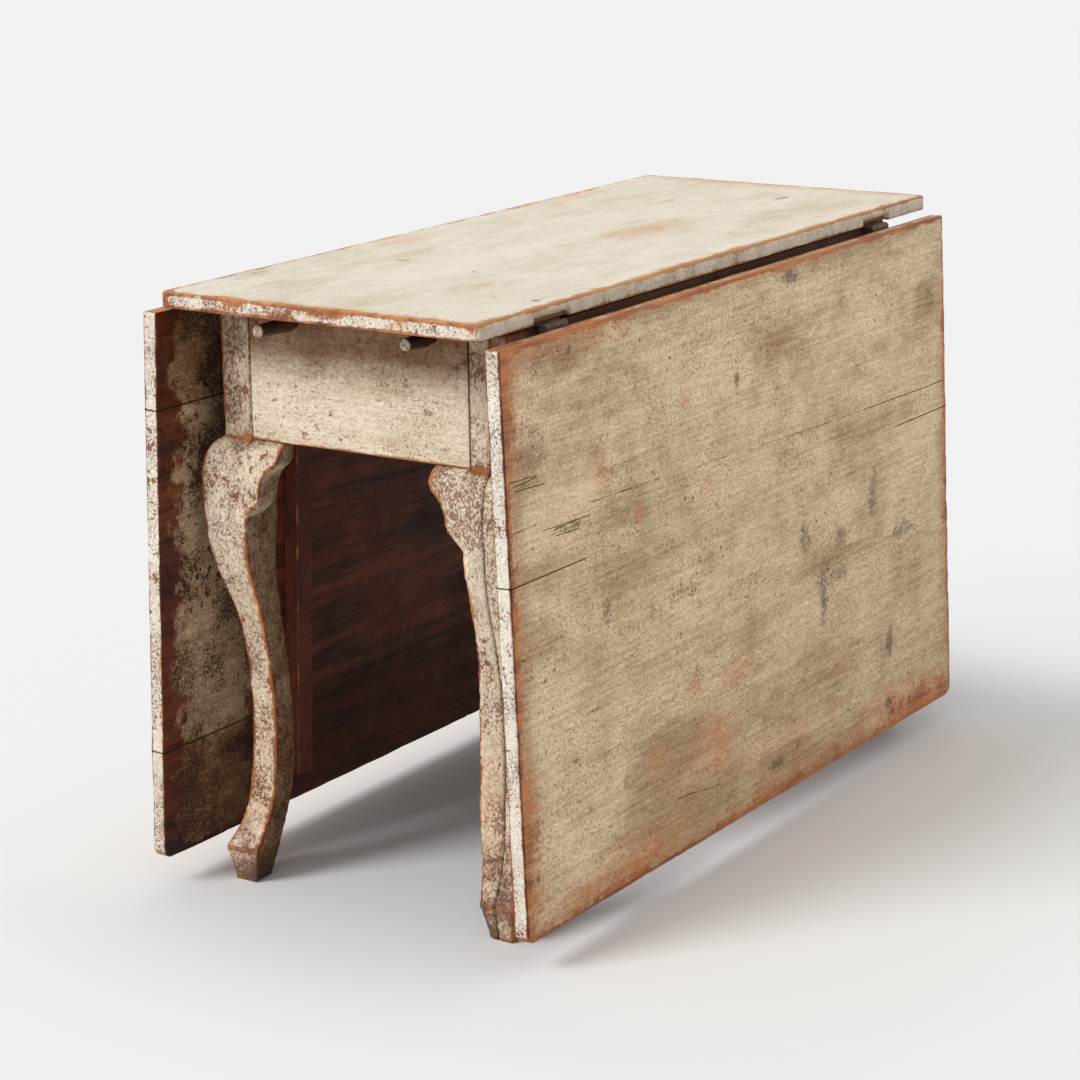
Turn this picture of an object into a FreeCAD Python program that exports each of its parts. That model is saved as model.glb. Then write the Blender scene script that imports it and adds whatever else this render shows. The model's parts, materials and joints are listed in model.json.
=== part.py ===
"""Drop-leaf table with square cabriole legs, two deep leaves and two swing-leg gates.

Frame: X runs along the table, -X is the near end; +Y is the left leaf's side; Z is up from the floor.
The leaves hang at rest. Everything is in millimetres and degrees.
"""
import FreeCAD, Part
import os
import re
import Sketcher

SIZES = {
    # the whole table
    "height": 740,              # floor to the top's upper face
    "top_length": 1084,
    "top_width": 444,
    "top_thickness": 20,
    "top_narrow_width": 84,     # of the left board; the other takes the rest
    "top_corner_round": 9,
    "top_edge_round": 5,
    "top_lower_round": 1.6,
    "end_overhang": 77,         # end of the top to the face of the end apron
    "side_overhang": 24,        # long edge of the top to the face of a whole leg's post
    # aprons and posts
    "post_size": 44,
    "apron_height": 163,
    "apron_thickness": 22,
    "tenon_length": 24,
    "tenon_thickness": 9,
    "tenon_shoulder": 16,       # apron left above and below each tenon
    "tenon_clearance": 0.1,
    "tenon_pin_radius": 3.5,
    "tenon_pin_spread": 60,     # between the two pins of one joint
    "end_pin_length": 18,
    "side_pin_depth": 20,       # past the plane that splits a leg
    "gate_pin_length": 19,
    "pin_hole_spare": 1,        # hole beyond the pin's end
    "pin_clearance": 0.05,
    # cabriole legs, outlines measured from the faces of the post
    "knee_proud": 21,
    "shoulder_drop": 21,        # apron's lower edge to the fullest part of the knee's shoulder
    "knee_drop": 67,            # apron's lower edge to the middle of the knee
    "calf_drop": 102,           # apron's lower edge to where the inner face leaves the post's line
    "calf_hollow": 5,
    "ankle_height": 190,
    "ankle_hollow": 14,
    "heel_swell": 8,
    "ridge_height": 43,         # the sharp edge round the foot
    "ridge_proud": 15,
    "ridge_inset": 9,
    "sole_proud": 6,
    "sole_inset": 18,
    # ears beside the knees
    "ear_width": 48,
    "ear_height": 91,
    "ear_thickness": 18,
    # gates: half a leg on a rail that turns on a wooden knuckle joint
    "split_depth": 14,          # face of a whole post to the plane that splits a leg
    "gate_clearance": 0.5,
    "gate_thickness": 24,
    "gate_head_room": 5,
    "gate_knee_proud": 24,
    "gate_ankle_proud": 1,
    "knuckle_place": 0,         # along X
    "knuckle_clearance": 0.4,
    "knuckle_pin_radius": 4,
    # leaves
    "leaf_floor_gap": 36,       # floor to the lower edge of a hanging leaf
    "leaf_thickness": 20,
    "leaf_gap": 2,              # between the edges when a leaf is up
    "leaf_splay": 2.2,          # how far a hanging leaf stands out at its foot
    "leaf_corner_round": 15,
    "leaf_edge_round": 3,
    "left_upper_board": 117,
    "left_lower_board": 138,
    "right_upper_board": 264,
    "batten_inset": 131,        # inner face of a post to the middle of the batten
    "batten_width": 30,
    "batten_head": 28,          # hinge line to the batten's upper end
    "batten_foot": 43,          # batten's lower end to the leaf's edge
    "batten_bevel": 20,
    "batten_tip": 8,
    "batten_rest": 0.3,         # hanging batten to gate rail
    # iron hinges
    "hinge_inset": 26,          # inner face of a post to the middle of the hinge
    "barrel_radius": 5.5,
    "barrel_length": 45,
    "barrel_clearance": 0.3,
    "hinge_pin_radius": 2.5,
    "hinge_plate": 2.5,         # thickness
    "hinge_fixed_reach": 34,
    "hinge_leaf_reach": 54,
    "notch_length": 75,
    "notch_height": 10,
    "notch_depth": 9,
    # nails
    "nail_radius": 1.6,
    "nail_bite": 12,            # into the board
    "nail_head_radius": 3.6,
    "nail_crown_radius": 2.5,   # the smaller, outer face of the head
    "nail_head": 1.4,
    "nail_spread": 13,
    "hinge_nail_share": 0.7,    # of a hinge plate's reach, from the pin out
    # pegs that hold the top to the frame, and the cleats they enter
    "cleat_thickness": 30,
    "cleat_height": 34,
    "cleat_gap": 6,             # end of a cleat to the post
    "cleat_nail_inset": 107,    # inner face of a post to the nail
    "peg_radius": 8,
    "peg_tip_radius": 6,
    "peg_drop": 17,             # underside of the top to the peg's axis
    "peg_left_inset": 67,       # inner face of the left post to the peg's axis
    "peg_right_inset": 48,
    "peg_left_reach": 68,       # out from the apron's face
    "peg_right_reach": 52,
    "peg_tail": 6,              # past the cleat
    # waste left round a sawn outline
    "saw_room": 60,
}
EIGHTH_TURN = 45
LEAST_CUT = 1                   # cubic millimetres that every cut takes at least

# places that follow from the sizes
UNDERSIDE = "(height - top_thickness)"
FRAME_END = "(top_length / 2 - end_overhang)"
FRAME_SIDE = "(top_width / 2 - side_overhang)"
POST_END = f"({FRAME_END} - post_size)"
POST_SIDE = f"({FRAME_SIDE} - post_size)"
APRON_FOOT = f"({UNDERSIDE} - apron_height)"
APRON_MIDDLE = f"({UNDERSIDE} - apron_height / 2)"
KNEE = f"({APRON_FOOT} - knee_drop)"
CALF = f"({APRON_FOOT} - calf_drop)"
SHIN = f"((ankle_height + {KNEE}) / 2)"
TOP_SEAM = "(top_width / 2 - top_narrow_width)"
SPLIT = f"({FRAME_SIDE} - split_depth)"
GATE_INNER = f"({SPLIT} + gate_clearance)"
GATE_OUTER = f"({GATE_INNER} + gate_thickness)"
GATE_MIDDLE = f"({GATE_INNER} + gate_thickness / 2)"
GATE_HEAD = f"({UNDERSIDE} - gate_head_room)"
GATE_HEIGHT = "(apron_height - gate_head_room)"
FINGER = f"({GATE_HEIGHT} / 5)"
END_TENON = f"({FRAME_END} - apron_thickness / 2)"
SIDE_TENON = f"({SPLIT} - apron_thickness / 2)"
TENON_HEIGHT = "(apron_height - 2 * tenon_shoulder)"
HINGE_SIDE = "(top_width / 2 + leaf_gap / 2)"
HINGE_HEIGHT = f"({UNDERSIDE} - barrel_radius)"
HINGE_PLACES = (f"(0 - {POST_END} + hinge_inset)", f"({POST_END} - hinge_inset)")
FIXED_NAIL = f"({HINGE_SIDE} - hinge_fixed_reach * hinge_nail_share)"
LEAF_NAIL = "(hinge_leaf_reach * hinge_nail_share)"
LEAF_HEAD = "(leaf_gap / 2)"
LEAF_DROP = f"({HINGE_HEIGHT} - leaf_floor_gap + barrel_radius * sin(leaf_splay))"
LEAF_FOOT = f"({LEAF_DROP} / cos(leaf_splay))"
LEFT_SEAMS = (LEAF_HEAD, f"({LEAF_HEAD} + left_upper_board)", f"({LEAF_FOOT} - left_lower_board)", LEAF_FOOT)
RIGHT_SEAMS = (LEAF_HEAD, f"({LEAF_HEAD} + right_upper_board)", LEAF_FOOT)
BATTEN_PLACES = (f"(0 - {POST_END} + batten_inset)", f"({POST_END} - batten_inset)")
BATTEN_REST = "(batten_head + batten_bevel)"
BATTEN_ROOM = f"({HINGE_SIDE} - {GATE_OUTER} - batten_rest)"
BATTEN_FACE = f"(({BATTEN_ROOM} + {BATTEN_REST} * sin(leaf_splay)) / cos(leaf_splay))"
CLEAT_BACK = f"({FRAME_END} - apron_thickness - cleat_thickness)"
CLEAT_MIDDLE = f"({FRAME_END} - apron_thickness - cleat_thickness / 2)"
NAIL_HOLE = "(nail_radius + pin_clearance)"
HEAD_SEAT = "(nail_head + pin_clearance)"
PEG_HEIGHT = f"({UNDERSIDE} - peg_drop)"
PEGS = ((f"({POST_SIDE} - peg_left_inset)", "peg_left_reach"),
        (f"(0 - {POST_SIDE} + peg_right_inset)", "peg_right_reach"))
CLEAT_NAILS = (f"(0 - {POST_SIDE} + cleat_nail_inset)", f"({POST_SIDE} - cleat_nail_inset)")

ACROSS = {"XY_Plane": 1, "XZ_Plane": -1, "YZ_Plane": 1}
HALF_TURN = FreeCAD.Placement(FreeCAD.Vector(), FreeCAD.Rotation(FreeCAD.Vector(0, 0, 1), 180))

doc = FreeCAD.newDocument("DropLeafTable")
sheet = doc.addObject("Spreadsheet::Sheet", "Sizes")
for row, (alias, amount) in enumerate(SIZES.items(), start=1):
    sheet.set(f"A{row}", str(amount))
    sheet.setAlias(f"A{row}", alias)
doc.recompute()


# reading the sheet

def bound(text):
    """An expression with each size pointed at its cell."""
    return re.sub(r"[a-z_]+", lambda word: ("Sizes." if word.group() in SIZES else "") + word.group(), text)


def number(text):
    """The value of an expression of the sizes."""
    return float(sheet.evalExpression(bound(text)))


# drawing outlines

def rectangle(left, right, low, high):
    corners = [(left, low), (right, low), (right, high), (left, high)]
    return [[corners[i], corners[(i + 1) % 4]] for i in range(4)]


def circle(centre, radius):
    return [[centre, radius]]


def polygon(points):
    return [[points[i], points[(i + 1) % len(points)]] for i in range(len(points))]


def tie_point(drawing, shape, position, point):
    """Hold one point of a drawing at its bound coordinates."""
    for kind, text in zip(("DistanceX", "DistanceY"), point):
        rule = Sketcher.Constraint(kind, -1, 1, shape, position, number(text))
        drawing.setExpression(f"Constraints[{drawing.addConstraint(rule)}]", bound(text))


def draw_circle(drawing, centre, radius):
    middle = FreeCAD.Vector(number(centre[0]), number(centre[1]), 0)
    shape = drawing.addGeometry(Part.Circle(middle, FreeCAD.Vector(0, 0, 1), number(radius)))
    tie_point(drawing, shape, 3, centre)
    rule = Sketcher.Constraint("Radius", shape, number(radius))
    drawing.setExpression(f"Constraints[{drawing.addConstraint(rule)}]", bound(radius))


def draw_stretch(drawing, stretch):
    """A straight line between two points, or a smooth curve on three or more control points."""
    points = [FreeCAD.Vector(number(x), number(y), 0) for x, y in stretch]
    if len(points) == 2:
        shape = drawing.addGeometry(Part.LineSegment(*points))
    else:
        curve = Part.BSplineCurve()
        curve.buildFromPoles(points)
        shape = drawing.addGeometry(curve)
        drawing.exposeInternalGeometry(shape)
        for step, point in enumerate(stretch[1:-1], start=2):
            tie_point(drawing, shape + step, 3, point)
    tie_point(drawing, shape, 1, stretch[0])
    return shape


def draw(body, plane, name, loops, level):
    """A sketch on one of the body's own planes, lifted to a level across that plane."""
    support = next(item for item in body.Origin.OriginFeatures if item.Role == plane)
    drawing = body.newObject("Sketcher::SketchObject", name)
    drawing.AttachmentSupport = [(support, "")]
    drawing.MapMode = "FlatFace"
    drawing.setExpression("AttachmentOffset.Base.z", bound(f"{ACROSS[plane]} * ({level})"))
    for loop in loops:
        if len(loop) == 1:
            draw_circle(drawing, *loop[0])
            continue
        shapes = [draw_stretch(drawing, stretch) for stretch in loop]
        for shape, following in zip(shapes, shapes[1:] + shapes[:1]):
            drawing.addConstraint(Sketcher.Constraint("Coincident", shape, 2, following, 1))
    return drawing


# making solids

def new_body(label):
    body = doc.addObject("PartDesign::Body", "Body")
    body.Label = label
    return body


def pad(body, plane, name, loops, middle, length):
    """Add a slab of the outline, equally to both sides of its middle level."""
    feature = body.newObject("PartDesign::Pad", name + "Pad")
    feature.Profile = draw(body, plane, name, loops, middle)
    feature.SideType = "Symmetric"
    feature.setExpression("Length", bound(length))


def cut(body, plane, name, loops, middle, length):
    """Cut the outline away, equally to both sides of its middle level."""
    feature = body.newObject("PartDesign::Pocket", name + "Cut")
    feature.Profile = draw(body, plane, name, loops, middle)
    feature.SideType = "Symmetric"
    feature.setExpression("Length", bound(length))


def soften(body, name, radius, wanted):
    """Round the edges that the test picks."""
    doc.recompute()
    base = body.Tip
    edges = []
    for index, edge in enumerate(base.Shape.Edges, start=1):
        if wanted(edge.CenterOfMass, edge):
            edges.append(f"Edge{index}")
    feature = body.newObject("PartDesign::Fillet", name)
    feature.Base = (base, edges)
    feature.setExpression("Radius", bound(radius))


def near(one, other):
    return abs(one - other) < 0.01


def upright(edge):
    return near(edge.BoundBox.XLength, 0) and near(edge.BoundBox.YLength, 0)


def nail(foot, direction, shank):
    """A nail with its head's seat at foot, driven along direction."""
    thickness = number("nail_head")
    start = foot - direction * thickness / 2
    rod = Part.makeCylinder(number("nail_radius"), shank + thickness / 2, start, direction)
    crown = foot - direction * thickness
    radii = number("nail_crown_radius"), number("nail_head_radius")
    head = Part.makeCone(*radii, thickness, crown, direction)
    return rod.fuse(head).removeSplitter()


def group(label, solids):
    """Separate solids of one kind in one node."""
    feature = doc.addObject("Part::Feature", "Group")
    feature.Label = label
    feature.Shape = Part.makeCompound(solids)
    return feature


def plain_pin(label, radius, length, base):
    pin = doc.addObject("Part::Cylinder", "Pin")
    pin.Label = label
    pin.setExpression("Radius", bound(radius))
    pin.setExpression("Height", bound(length))
    for axis, text in zip("xyz", base):
        pin.setExpression(f"Placement.Base.{axis}", bound(text))
    return pin


# the two boards of the fixed top

def top_board(label, inner, outer, side, cleats):
    """One board, from its seam at inner to the long edge at outer, with a notch over each hinge."""
    body = new_body(label)
    low, high = (inner, outer) if side > 0 else (outer, inner)
    outline = rectangle("-top_length / 2", "top_length / 2", low, high)
    pad(body, "XY_Plane", "Board", [outline], f"({UNDERSIDE} + top_thickness / 2)", "top_thickness")
    edge = number(outer)
    seam = number(inner)
    upper = number("height")
    lower = number(UNDERSIDE)
    soften(body, "Corners", "top_corner_round", lambda c, e: upright(e) and near(c.y, edge))
    soften(body, "UpperEdge", "top_edge_round", lambda c, e: near(c.z, upper) and not near(c.y, seam))
    soften(body, "LowerEdge", "top_lower_round", lambda c, e: near(c.z, lower) and not near(c.y, seam))
    notches = []
    holes = []
    for x in HINGE_PLACES:
        within = f"{outer} - ({side}) * notch_depth"
        beyond = f"{outer} + ({side}) * notch_depth"
        notches.append(rectangle(f"{x} - notch_length / 2", f"{x} + notch_length / 2", within, beyond))
        for spread in ("-nail_spread", "nail_spread"):
            place = f"{x} + {spread}", f"({side}) * {FIXED_NAIL}"
            holes.append(circle(place, NAIL_HOLE))
    if cleats:
        for x in (f"-{CLEAT_MIDDLE}", CLEAT_MIDDLE):
            holes += [circle((x, across), NAIL_HOLE) for across in CLEAT_NAILS]
    cut(body, "XY_Plane", "Notches", notches, UNDERSIDE, "2 * notch_height")
    cut(body, "XY_Plane", "NailHoles", holes, UNDERSIDE, "2 * nail_bite")
    return body


# leaves, drawn open with the hinge line at the origin and swung down to hang

def hang(body, side):
    """Swing a piece of a leaf down about the hinge line to its resting splay."""
    turn = "90 - leaf_splay"
    axis = FreeCAD.Vector(-side, 0, 0)
    body.Placement = FreeCAD.Placement(FreeCAD.Vector(), FreeCAD.Rotation(axis, number(turn)))
    body.setExpression("Placement.Rotation.Angle", bound(turn))
    body.setExpression("Placement.Base.y", bound(f"({side}) * {HINGE_SIDE}"))
    body.setExpression("Placement.Base.z", bound(HINGE_HEIGHT))


def leaf_board(label, side, start, stop, first, last):
    body = new_body(label)
    sides = (f"({side}) * ({start})", f"({side}) * ({stop})")
    low, high = sides if side > 0 else sides[::-1]
    outline = rectangle("-top_length / 2", "top_length / 2", low, high)
    pad(body, "XY_Plane", "Board", [outline], "barrel_radius + leaf_thickness / 2", "leaf_thickness")
    inner_edge = number(sides[0])
    outer_edge = number(sides[1])
    upper = number("barrel_radius + leaf_thickness")
    lower = number("barrel_radius")

    def rim(point):
        return (first or not near(point.y, inner_edge)) and (last or not near(point.y, outer_edge))

    if last:
        soften(body, "Corners", "leaf_corner_round", lambda c, e: upright(e) and near(c.y, outer_edge))
    soften(body, "OuterRim", "leaf_edge_round", lambda c, e: near(c.z, upper) and rim(c))
    soften(body, "InnerRim", "leaf_edge_round", lambda c, e: near(c.z, lower) and rim(c))
    holes = []
    for x in BATTEN_PLACES:
        for spread in ("-batten_width / 4", "batten_width / 4"):
            place = f"{x} + {spread}", f"({side}) * ({start} + {stop}) / 2"
            holes.append(circle(place, NAIL_HOLE))
    if first:
        for x in HINGE_PLACES:
            for spread in ("-nail_spread", "nail_spread"):
                place = f"{x} + {spread}", f"({side}) * {LEAF_NAIL}"
                holes.append(circle(place, NAIL_HOLE))
    cut(body, "XY_Plane", "NailHoles", holes, "barrel_radius", "2 * nail_bite")
    hang(body, side)


def leaf_batten(label, side, x, seams):
    """A cross batten under the leaf, bevelled at both ends; its upper end rests on the gate rail."""
    body = new_body(label)
    face = f"-{BATTEN_FACE}"
    tail = f"{LEAF_FOOT} - batten_foot"
    tip = "barrel_radius - batten_tip"
    points = [("batten_head", "barrel_radius"), (tail, "barrel_radius"), (tail, tip),
              (f"{tail} - batten_bevel", face), (BATTEN_REST, face), ("batten_head", tip)]
    section = polygon([(f"({side}) * ({y})", z) for y, z in points])
    pad(body, "YZ_Plane", "Section", [section], x, "batten_width")
    holes = []
    seats = []
    for start, stop in zip(seams, seams[1:]):
        for spread in ("-batten_width / 4", "batten_width / 4"):
            place = f"{x} + {spread}", f"({side}) * ({start} + {stop}) / 2"
            holes.append(circle(place, NAIL_HOLE))
            seats.append(circle(place, "nail_head_radius + pin_clearance"))
    cut(body, "XY_Plane", "NailHoles", holes, "0", "4 * batten_width")
    cut(body, "XY_Plane", "NailSeats", seats, face, f"2 * {HEAD_SEAT}")
    hang(body, side)


def leaf_nails(label, side, seams):
    """Nails of both battens and of both hinge plates of one leaf."""
    solids = []
    up = FreeCAD.Vector(0, 0, 1)
    seat = number(f"{HEAD_SEAT} - {BATTEN_FACE}")
    shank = number("barrel_radius + nail_bite") - seat
    for x in map(number, BATTEN_PLACES):
        for start, stop in zip(seams, seams[1:]):
            for spread in (-number("batten_width / 4"), number("batten_width / 4")):
                place = FreeCAD.Vector(x + spread, side * number(f"({start} + {stop}) / 2"), seat)
                solids.append(nail(place, up, shank))
    plate = number("barrel_radius - hinge_plate")
    for x in map(number, HINGE_PLACES):
        for spread in (-number("nail_spread"), number("nail_spread")):
            place = FreeCAD.Vector(x + spread, side * number(LEAF_NAIL), plate)
            solids.append(nail(place, up, number("hinge_plate + nail_bite")))
    hang(group(label, solids), side)


def leaf(name, side, seams, board_names):
    """One leaf, its board edges at the seams' distances from the hinge line."""
    spans = list(zip(seams, seams[1:]))
    for index, (word, (start, stop)) in enumerate(zip(board_names, spans)):
        leaf_board(f"{name}_leaf_{word}_board", side, start, stop, index == 0, index == len(spans) - 1)
    for word, x in zip(("near", "far"), BATTEN_PLACES):
        leaf_batten(f"{name}_leaf_{word}_batten", side, x, seams)
    leaf_nails(f"{name}_leaf_nails", side, seams)


# iron hinges, drawn about the pin at the origin

def hinge_plate(body, side, inward, reach, knuckles):
    """A plate against the wood, its knuckles rolled round the pin; inward is -1 for the fixed plate."""
    way = side * inward
    start = f"({way}) * (barrel_radius + barrel_clearance * 2)"
    ends = [start, f"({way}) * {reach}"]
    tongue = ["0", f"({way}) * (barrel_radius + barrel_clearance * 3)"]
    if way < 0:
        ends.reverse()
        tongue.reverse()
    level = "barrel_radius - hinge_plate / 2"
    half = "barrel_length / 2"
    pad(body, "XY_Plane", "Plate", [rectangle(f"-{half}", half, *ends)], level, "hinge_plate")
    tongues = [rectangle(left, right, *tongue) for left, right in knuckles]
    pad(body, "XY_Plane", "Tongues", tongues, level, "hinge_plate")
    for index, (left, right) in enumerate(knuckles):
        ring = [circle(("0", "0"), "barrel_radius")]
        pad(body, "YZ_Plane", f"Knuckle{index}", ring, f"({left} + {right}) / 2", f"{right} - ({left})")
    bore = [circle(("0", "0"), "hinge_pin_radius + pin_clearance")]
    cut(body, "YZ_Plane", "Bore", bore, "0", "2 * barrel_length")
    holes = []
    for spread in ("-nail_spread", "nail_spread"):
        holes.append(circle((spread, f"({way}) * {reach} * hinge_nail_share"), NAIL_HOLE))
    cut(body, "XY_Plane", "NailHoles", holes, level, "4 * hinge_plate")


def hinge(name, side, x):
    middle = [("-barrel_length / 6 + barrel_clearance / 2", "barrel_length / 6 - barrel_clearance / 2")]
    outer = [("-barrel_length / 2", "-barrel_length / 6 - barrel_clearance / 2"),
             ("barrel_length / 6 + barrel_clearance / 2", "barrel_length / 2")]
    fixed = new_body(f"{name}_hinge_fixed_plate")
    hinge_plate(fixed, side, -1, "hinge_fixed_reach", middle)
    fixed.setExpression("Placement.Base.y", bound(f"({side}) * {HINGE_SIDE}"))
    fixed.setExpression("Placement.Base.z", bound(HINGE_HEIGHT))
    moving = new_body(f"{name}_hinge_leaf_plate")
    hinge_plate(moving, side, 1, "hinge_leaf_reach", outer)
    hang(moving, side)
    for plate in (fixed, moving):
        plate.setExpression("Placement.Base.x", bound(x))
    pin = plain_pin(f"{name}_hinge_pin", "hinge_pin_radius", "barrel_length",
                    (f"{x} - barrel_length / 2", f"({side}) * {HINGE_SIDE}", HINGE_HEIGHT))
    pin.Placement.Rotation = FreeCAD.Rotation(FreeCAD.Vector(0, 1, 0), 90)


def hinge_frame_nails(label):
    solids = []
    up = FreeCAD.Vector(0, 0, 1)
    for side in (1, -1):
        across = side * number(FIXED_NAIL)
        for x in map(number, HINGE_PLACES):
            for spread in (-number("nail_spread"), number("nail_spread")):
                place = FreeCAD.Vector(x + spread, across, number(f"{UNDERSIDE} - hinge_plate"))
                solids.append(nail(place, up, number("hinge_plate + nail_bite")))
    group(label, solids)


# cabriole legs, sawn to one outline on two neighbouring faces

def between(one, other, share):
    return f"({one} + ({other} - ({one})) * {share})"


def outer_curve(post, knee, ankle):
    """From the apron's lower edge over the knee and ankle to the ridge of the foot, then to the sole."""
    leg = [(post, APRON_FOOT),
           (between(post, knee, 0.4), f"{APRON_FOOT} - shoulder_drop / 10"),
           (f"{knee} * 1.08", f"{APRON_FOOT} - shoulder_drop"),
           (knee, KNEE),
           (knee, between(KNEE, SHIN, 0.32)),
           (between(knee, ankle, 0.29), between(KNEE, SHIN, 0.68)),
           (between(knee, ankle, 0.76), SHIN),
           (between(knee, ankle, 0.96), between(SHIN, "ankle_height", 0.5)),
           (ankle, "ankle_height"),
           (between(ankle, "ridge_proud", 0.14), between("ankle_height", "ridge_height", 0.48)),
           (between(ankle, "ridge_proud", 0.34), between("ankle_height", "ridge_height", 0.76)),
           ("ridge_proud", "ridge_height")]
    foot = [("ridge_proud", "ridge_height"),
            (between("ridge_proud", "sole_proud", 0.4), "ridge_height * 0.7"),
            (between("ridge_proud", "sole_proud", 0.85), "ridge_height * 0.35"),
            ("sole_proud", "0")]
    return [leg, foot]


def inner_curve():
    """From the sole up the inner face to the line of the post."""
    foot = [("-post_size + sole_inset", "0"),
            (between("-post_size + sole_inset", "-post_size + ridge_inset", 0.7), "ridge_height * 0.6"),
            ("-post_size + ridge_inset", "ridge_height")]
    leg = [("-post_size + ridge_inset", "ridge_height"),
           (between("-post_size - heel_swell", "-post_size + ridge_inset", 0.68),
            between("ankle_height", "ridge_height", 0.8)),
           (between("-post_size - heel_swell", "-post_size + ridge_inset", 0.1),
            between("ankle_height", "ridge_height", 0.5)),
           ("-post_size - heel_swell", "ankle_height"),
           (between("-post_size + calf_hollow", "-post_size - heel_swell", 0.74),
            between(SHIN, "ankle_height", 0.5)),
           (between("-post_size + calf_hollow", "-post_size - heel_swell", 0.29), SHIN),
           ("-post_size + calf_hollow", between(CALF, SHIN, 0.38)),
           ("-post_size", CALF)]
    return [foot, leg]


def leg_outline(outer, inner, post_face, post_back, head, toe):
    """Close the two curves with the post above and the sole below."""
    sole_front = outer[-1][-1][0]
    sole_back = inner[0][0][0]
    loop = [[(post_face, head), (post_face, outer[0][0][1])]] + outer
    if toe != "0":
        loop += [[(sole_front, "0"), (sole_front, toe)], [(sole_front, toe), (sole_back, toe)],
                 [(sole_back, toe), (sole_back, "0")]]
    else:
        loop.append([(sole_front, "0"), (sole_back, "0")])
    loop += inner
    loop.append([(post_back, inner[-1][-1][1]), (post_back, head)])
    loop.append([(post_back, head), (post_face, head)])
    return loop


def place_loop(loop, face, way):
    """Move an outline measured from a post's face into the table's frame; way is 1 or -1."""
    return [[(f"({way}) * ({face} + {across})", level) for across, level in stretch] for stretch in loop]


GATE_POST = f"({GATE_OUTER} - {FRAME_SIDE})"
GATE_BACK = f"({GATE_INNER} - {FRAME_SIDE})"
WHOLE_CURVE = outer_curve("0", "knee_proud", "(0 - ankle_hollow)")
GATE_CURVE = outer_curve(GATE_POST, "gate_knee_proud", "gate_ankle_proud")
BLANK_INNER = f"({POST_SIDE} - 2 * heel_swell)"
BLANK_OUTER = f"({FRAME_SIDE} + 2 * gate_knee_proud)"


def saw_outline(body, plane, name, loop, across, middle, length):
    """Cut away everything outside an outline."""
    frame = rectangle(across[0], across[1], "-saw_room", "height + saw_room")
    cut(body, plane, name, [frame, loop], middle, length)


def saw_side(body, end, outline):
    """Saw the second face, which looks along the table."""
    across = (f"{FRAME_SIDE} - post_size - 2 * saw_room", f"{FRAME_SIDE} + 2 * saw_room")
    loop = place_loop(outline, FRAME_SIDE, 1)
    saw_outline(body, "YZ_Plane", "SideOutline", loop, across, f"({end}) * {FRAME_END}", "height")


def first_face(body, end, head, low, high):
    """Saw the leg's outline on the face that looks along the table's width."""
    outline = leg_outline(WHOLE_CURVE, inner_curve(), "0", "-post_size", head, "0")
    loop = place_loop(outline, FRAME_END, end)
    pad(body, "XZ_Plane", "EndOutline", [loop], f"({low} + {high}) / 2", f"{high} - {low}")


def mortise(body, left, right, low, high):
    cut(body, "XY_Plane", "Mortise", [rectangle(left, right, low, high)], APRON_MIDDLE,
        f"{TENON_HEIGHT} + 2 * tenon_clearance")


def pin_holes(body, plane, across, middle, length):
    """Two holes for the pins of one mortise and tenon."""
    holes = []
    for way in ("-", "+"):
        level = f"{APRON_MIDDLE} {way} tenon_pin_spread / 2"
        holes.append(circle((across, level), "tenon_pin_radius + pin_clearance"))
    cut(body, plane, "PinHoles", holes, middle, length)


END_PIN = f"({POST_SIDE} + tenon_length / 2)"
SIDE_PIN = f"({POST_END} + tenon_length / 2)"
SLACK = "tenon_clearance"


def end_mortise(body, end):
    """Mortise for the end apron in a post on the left side."""
    sides = [f"({end}) * ({END_TENON} - tenon_thickness / 2 - {SLACK})",
             f"({end}) * ({END_TENON} + tenon_thickness / 2 + {SLACK})"]
    if end < 0:
        sides.reverse()
    mortise(body, *sides, f"{POST_SIDE} - tenon_length", f"{POST_SIDE} + tenon_length + {SLACK}")
    pin_holes(body, "YZ_Plane", END_PIN, f"({end}) * {FRAME_END}", "2 * (end_pin_length + pin_hole_spare)")


def side_mortise(body, end, tenon):
    """Mortise for a side apron or a gate rail, round its tenon's middle, in a post on the left side."""
    ends = [f"({end}) * ({POST_END} - tenon_length)", f"({end}) * ({POST_END} + tenon_length + {SLACK})"]
    if end < 0:
        ends.reverse()
    half = f"(tenon_thickness / 2 + {SLACK})"
    mortise(body, *ends, f"{tenon} - {half}", f"{tenon} + {half}")


def whole_leg(label):
    """The near left leg: one piece from the floor to the top."""
    body = new_body(label)
    first_face(body, -1, UNDERSIDE, BLANK_INNER, BLANK_OUTER)
    outline = leg_outline(WHOLE_CURVE, inner_curve(), "0", "-post_size", "height", "-saw_room / 2")
    saw_side(body, -1, outline)
    end_mortise(body, -1)
    side_mortise(body, -1, SIDE_TENON)
    depth = "2 * (split_depth + side_pin_depth + pin_hole_spare)"
    pin_holes(body, "XZ_Plane", f"-{SIDE_PIN}", FRAME_SIDE, depth)
    return body


def fixed_half_leg(label):
    """The far left leg's inner half, which stays on the frame."""
    body = new_body(label)
    first_face(body, 1, UNDERSIDE, BLANK_INNER, SPLIT)
    plumb_front = [[("saw_room", APRON_FOOT), ("saw_room", "0")]]
    outline = leg_outline(plumb_front, inner_curve(), "saw_room", "-post_size", "height", "-saw_room / 2")
    saw_side(body, 1, outline)
    end_mortise(body, 1)
    side_mortise(body, 1, SIDE_TENON)
    pin_holes(body, "XZ_Plane", SIDE_PIN, SPLIT, "2 * (side_pin_depth + pin_hole_spare)")
    return body


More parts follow.
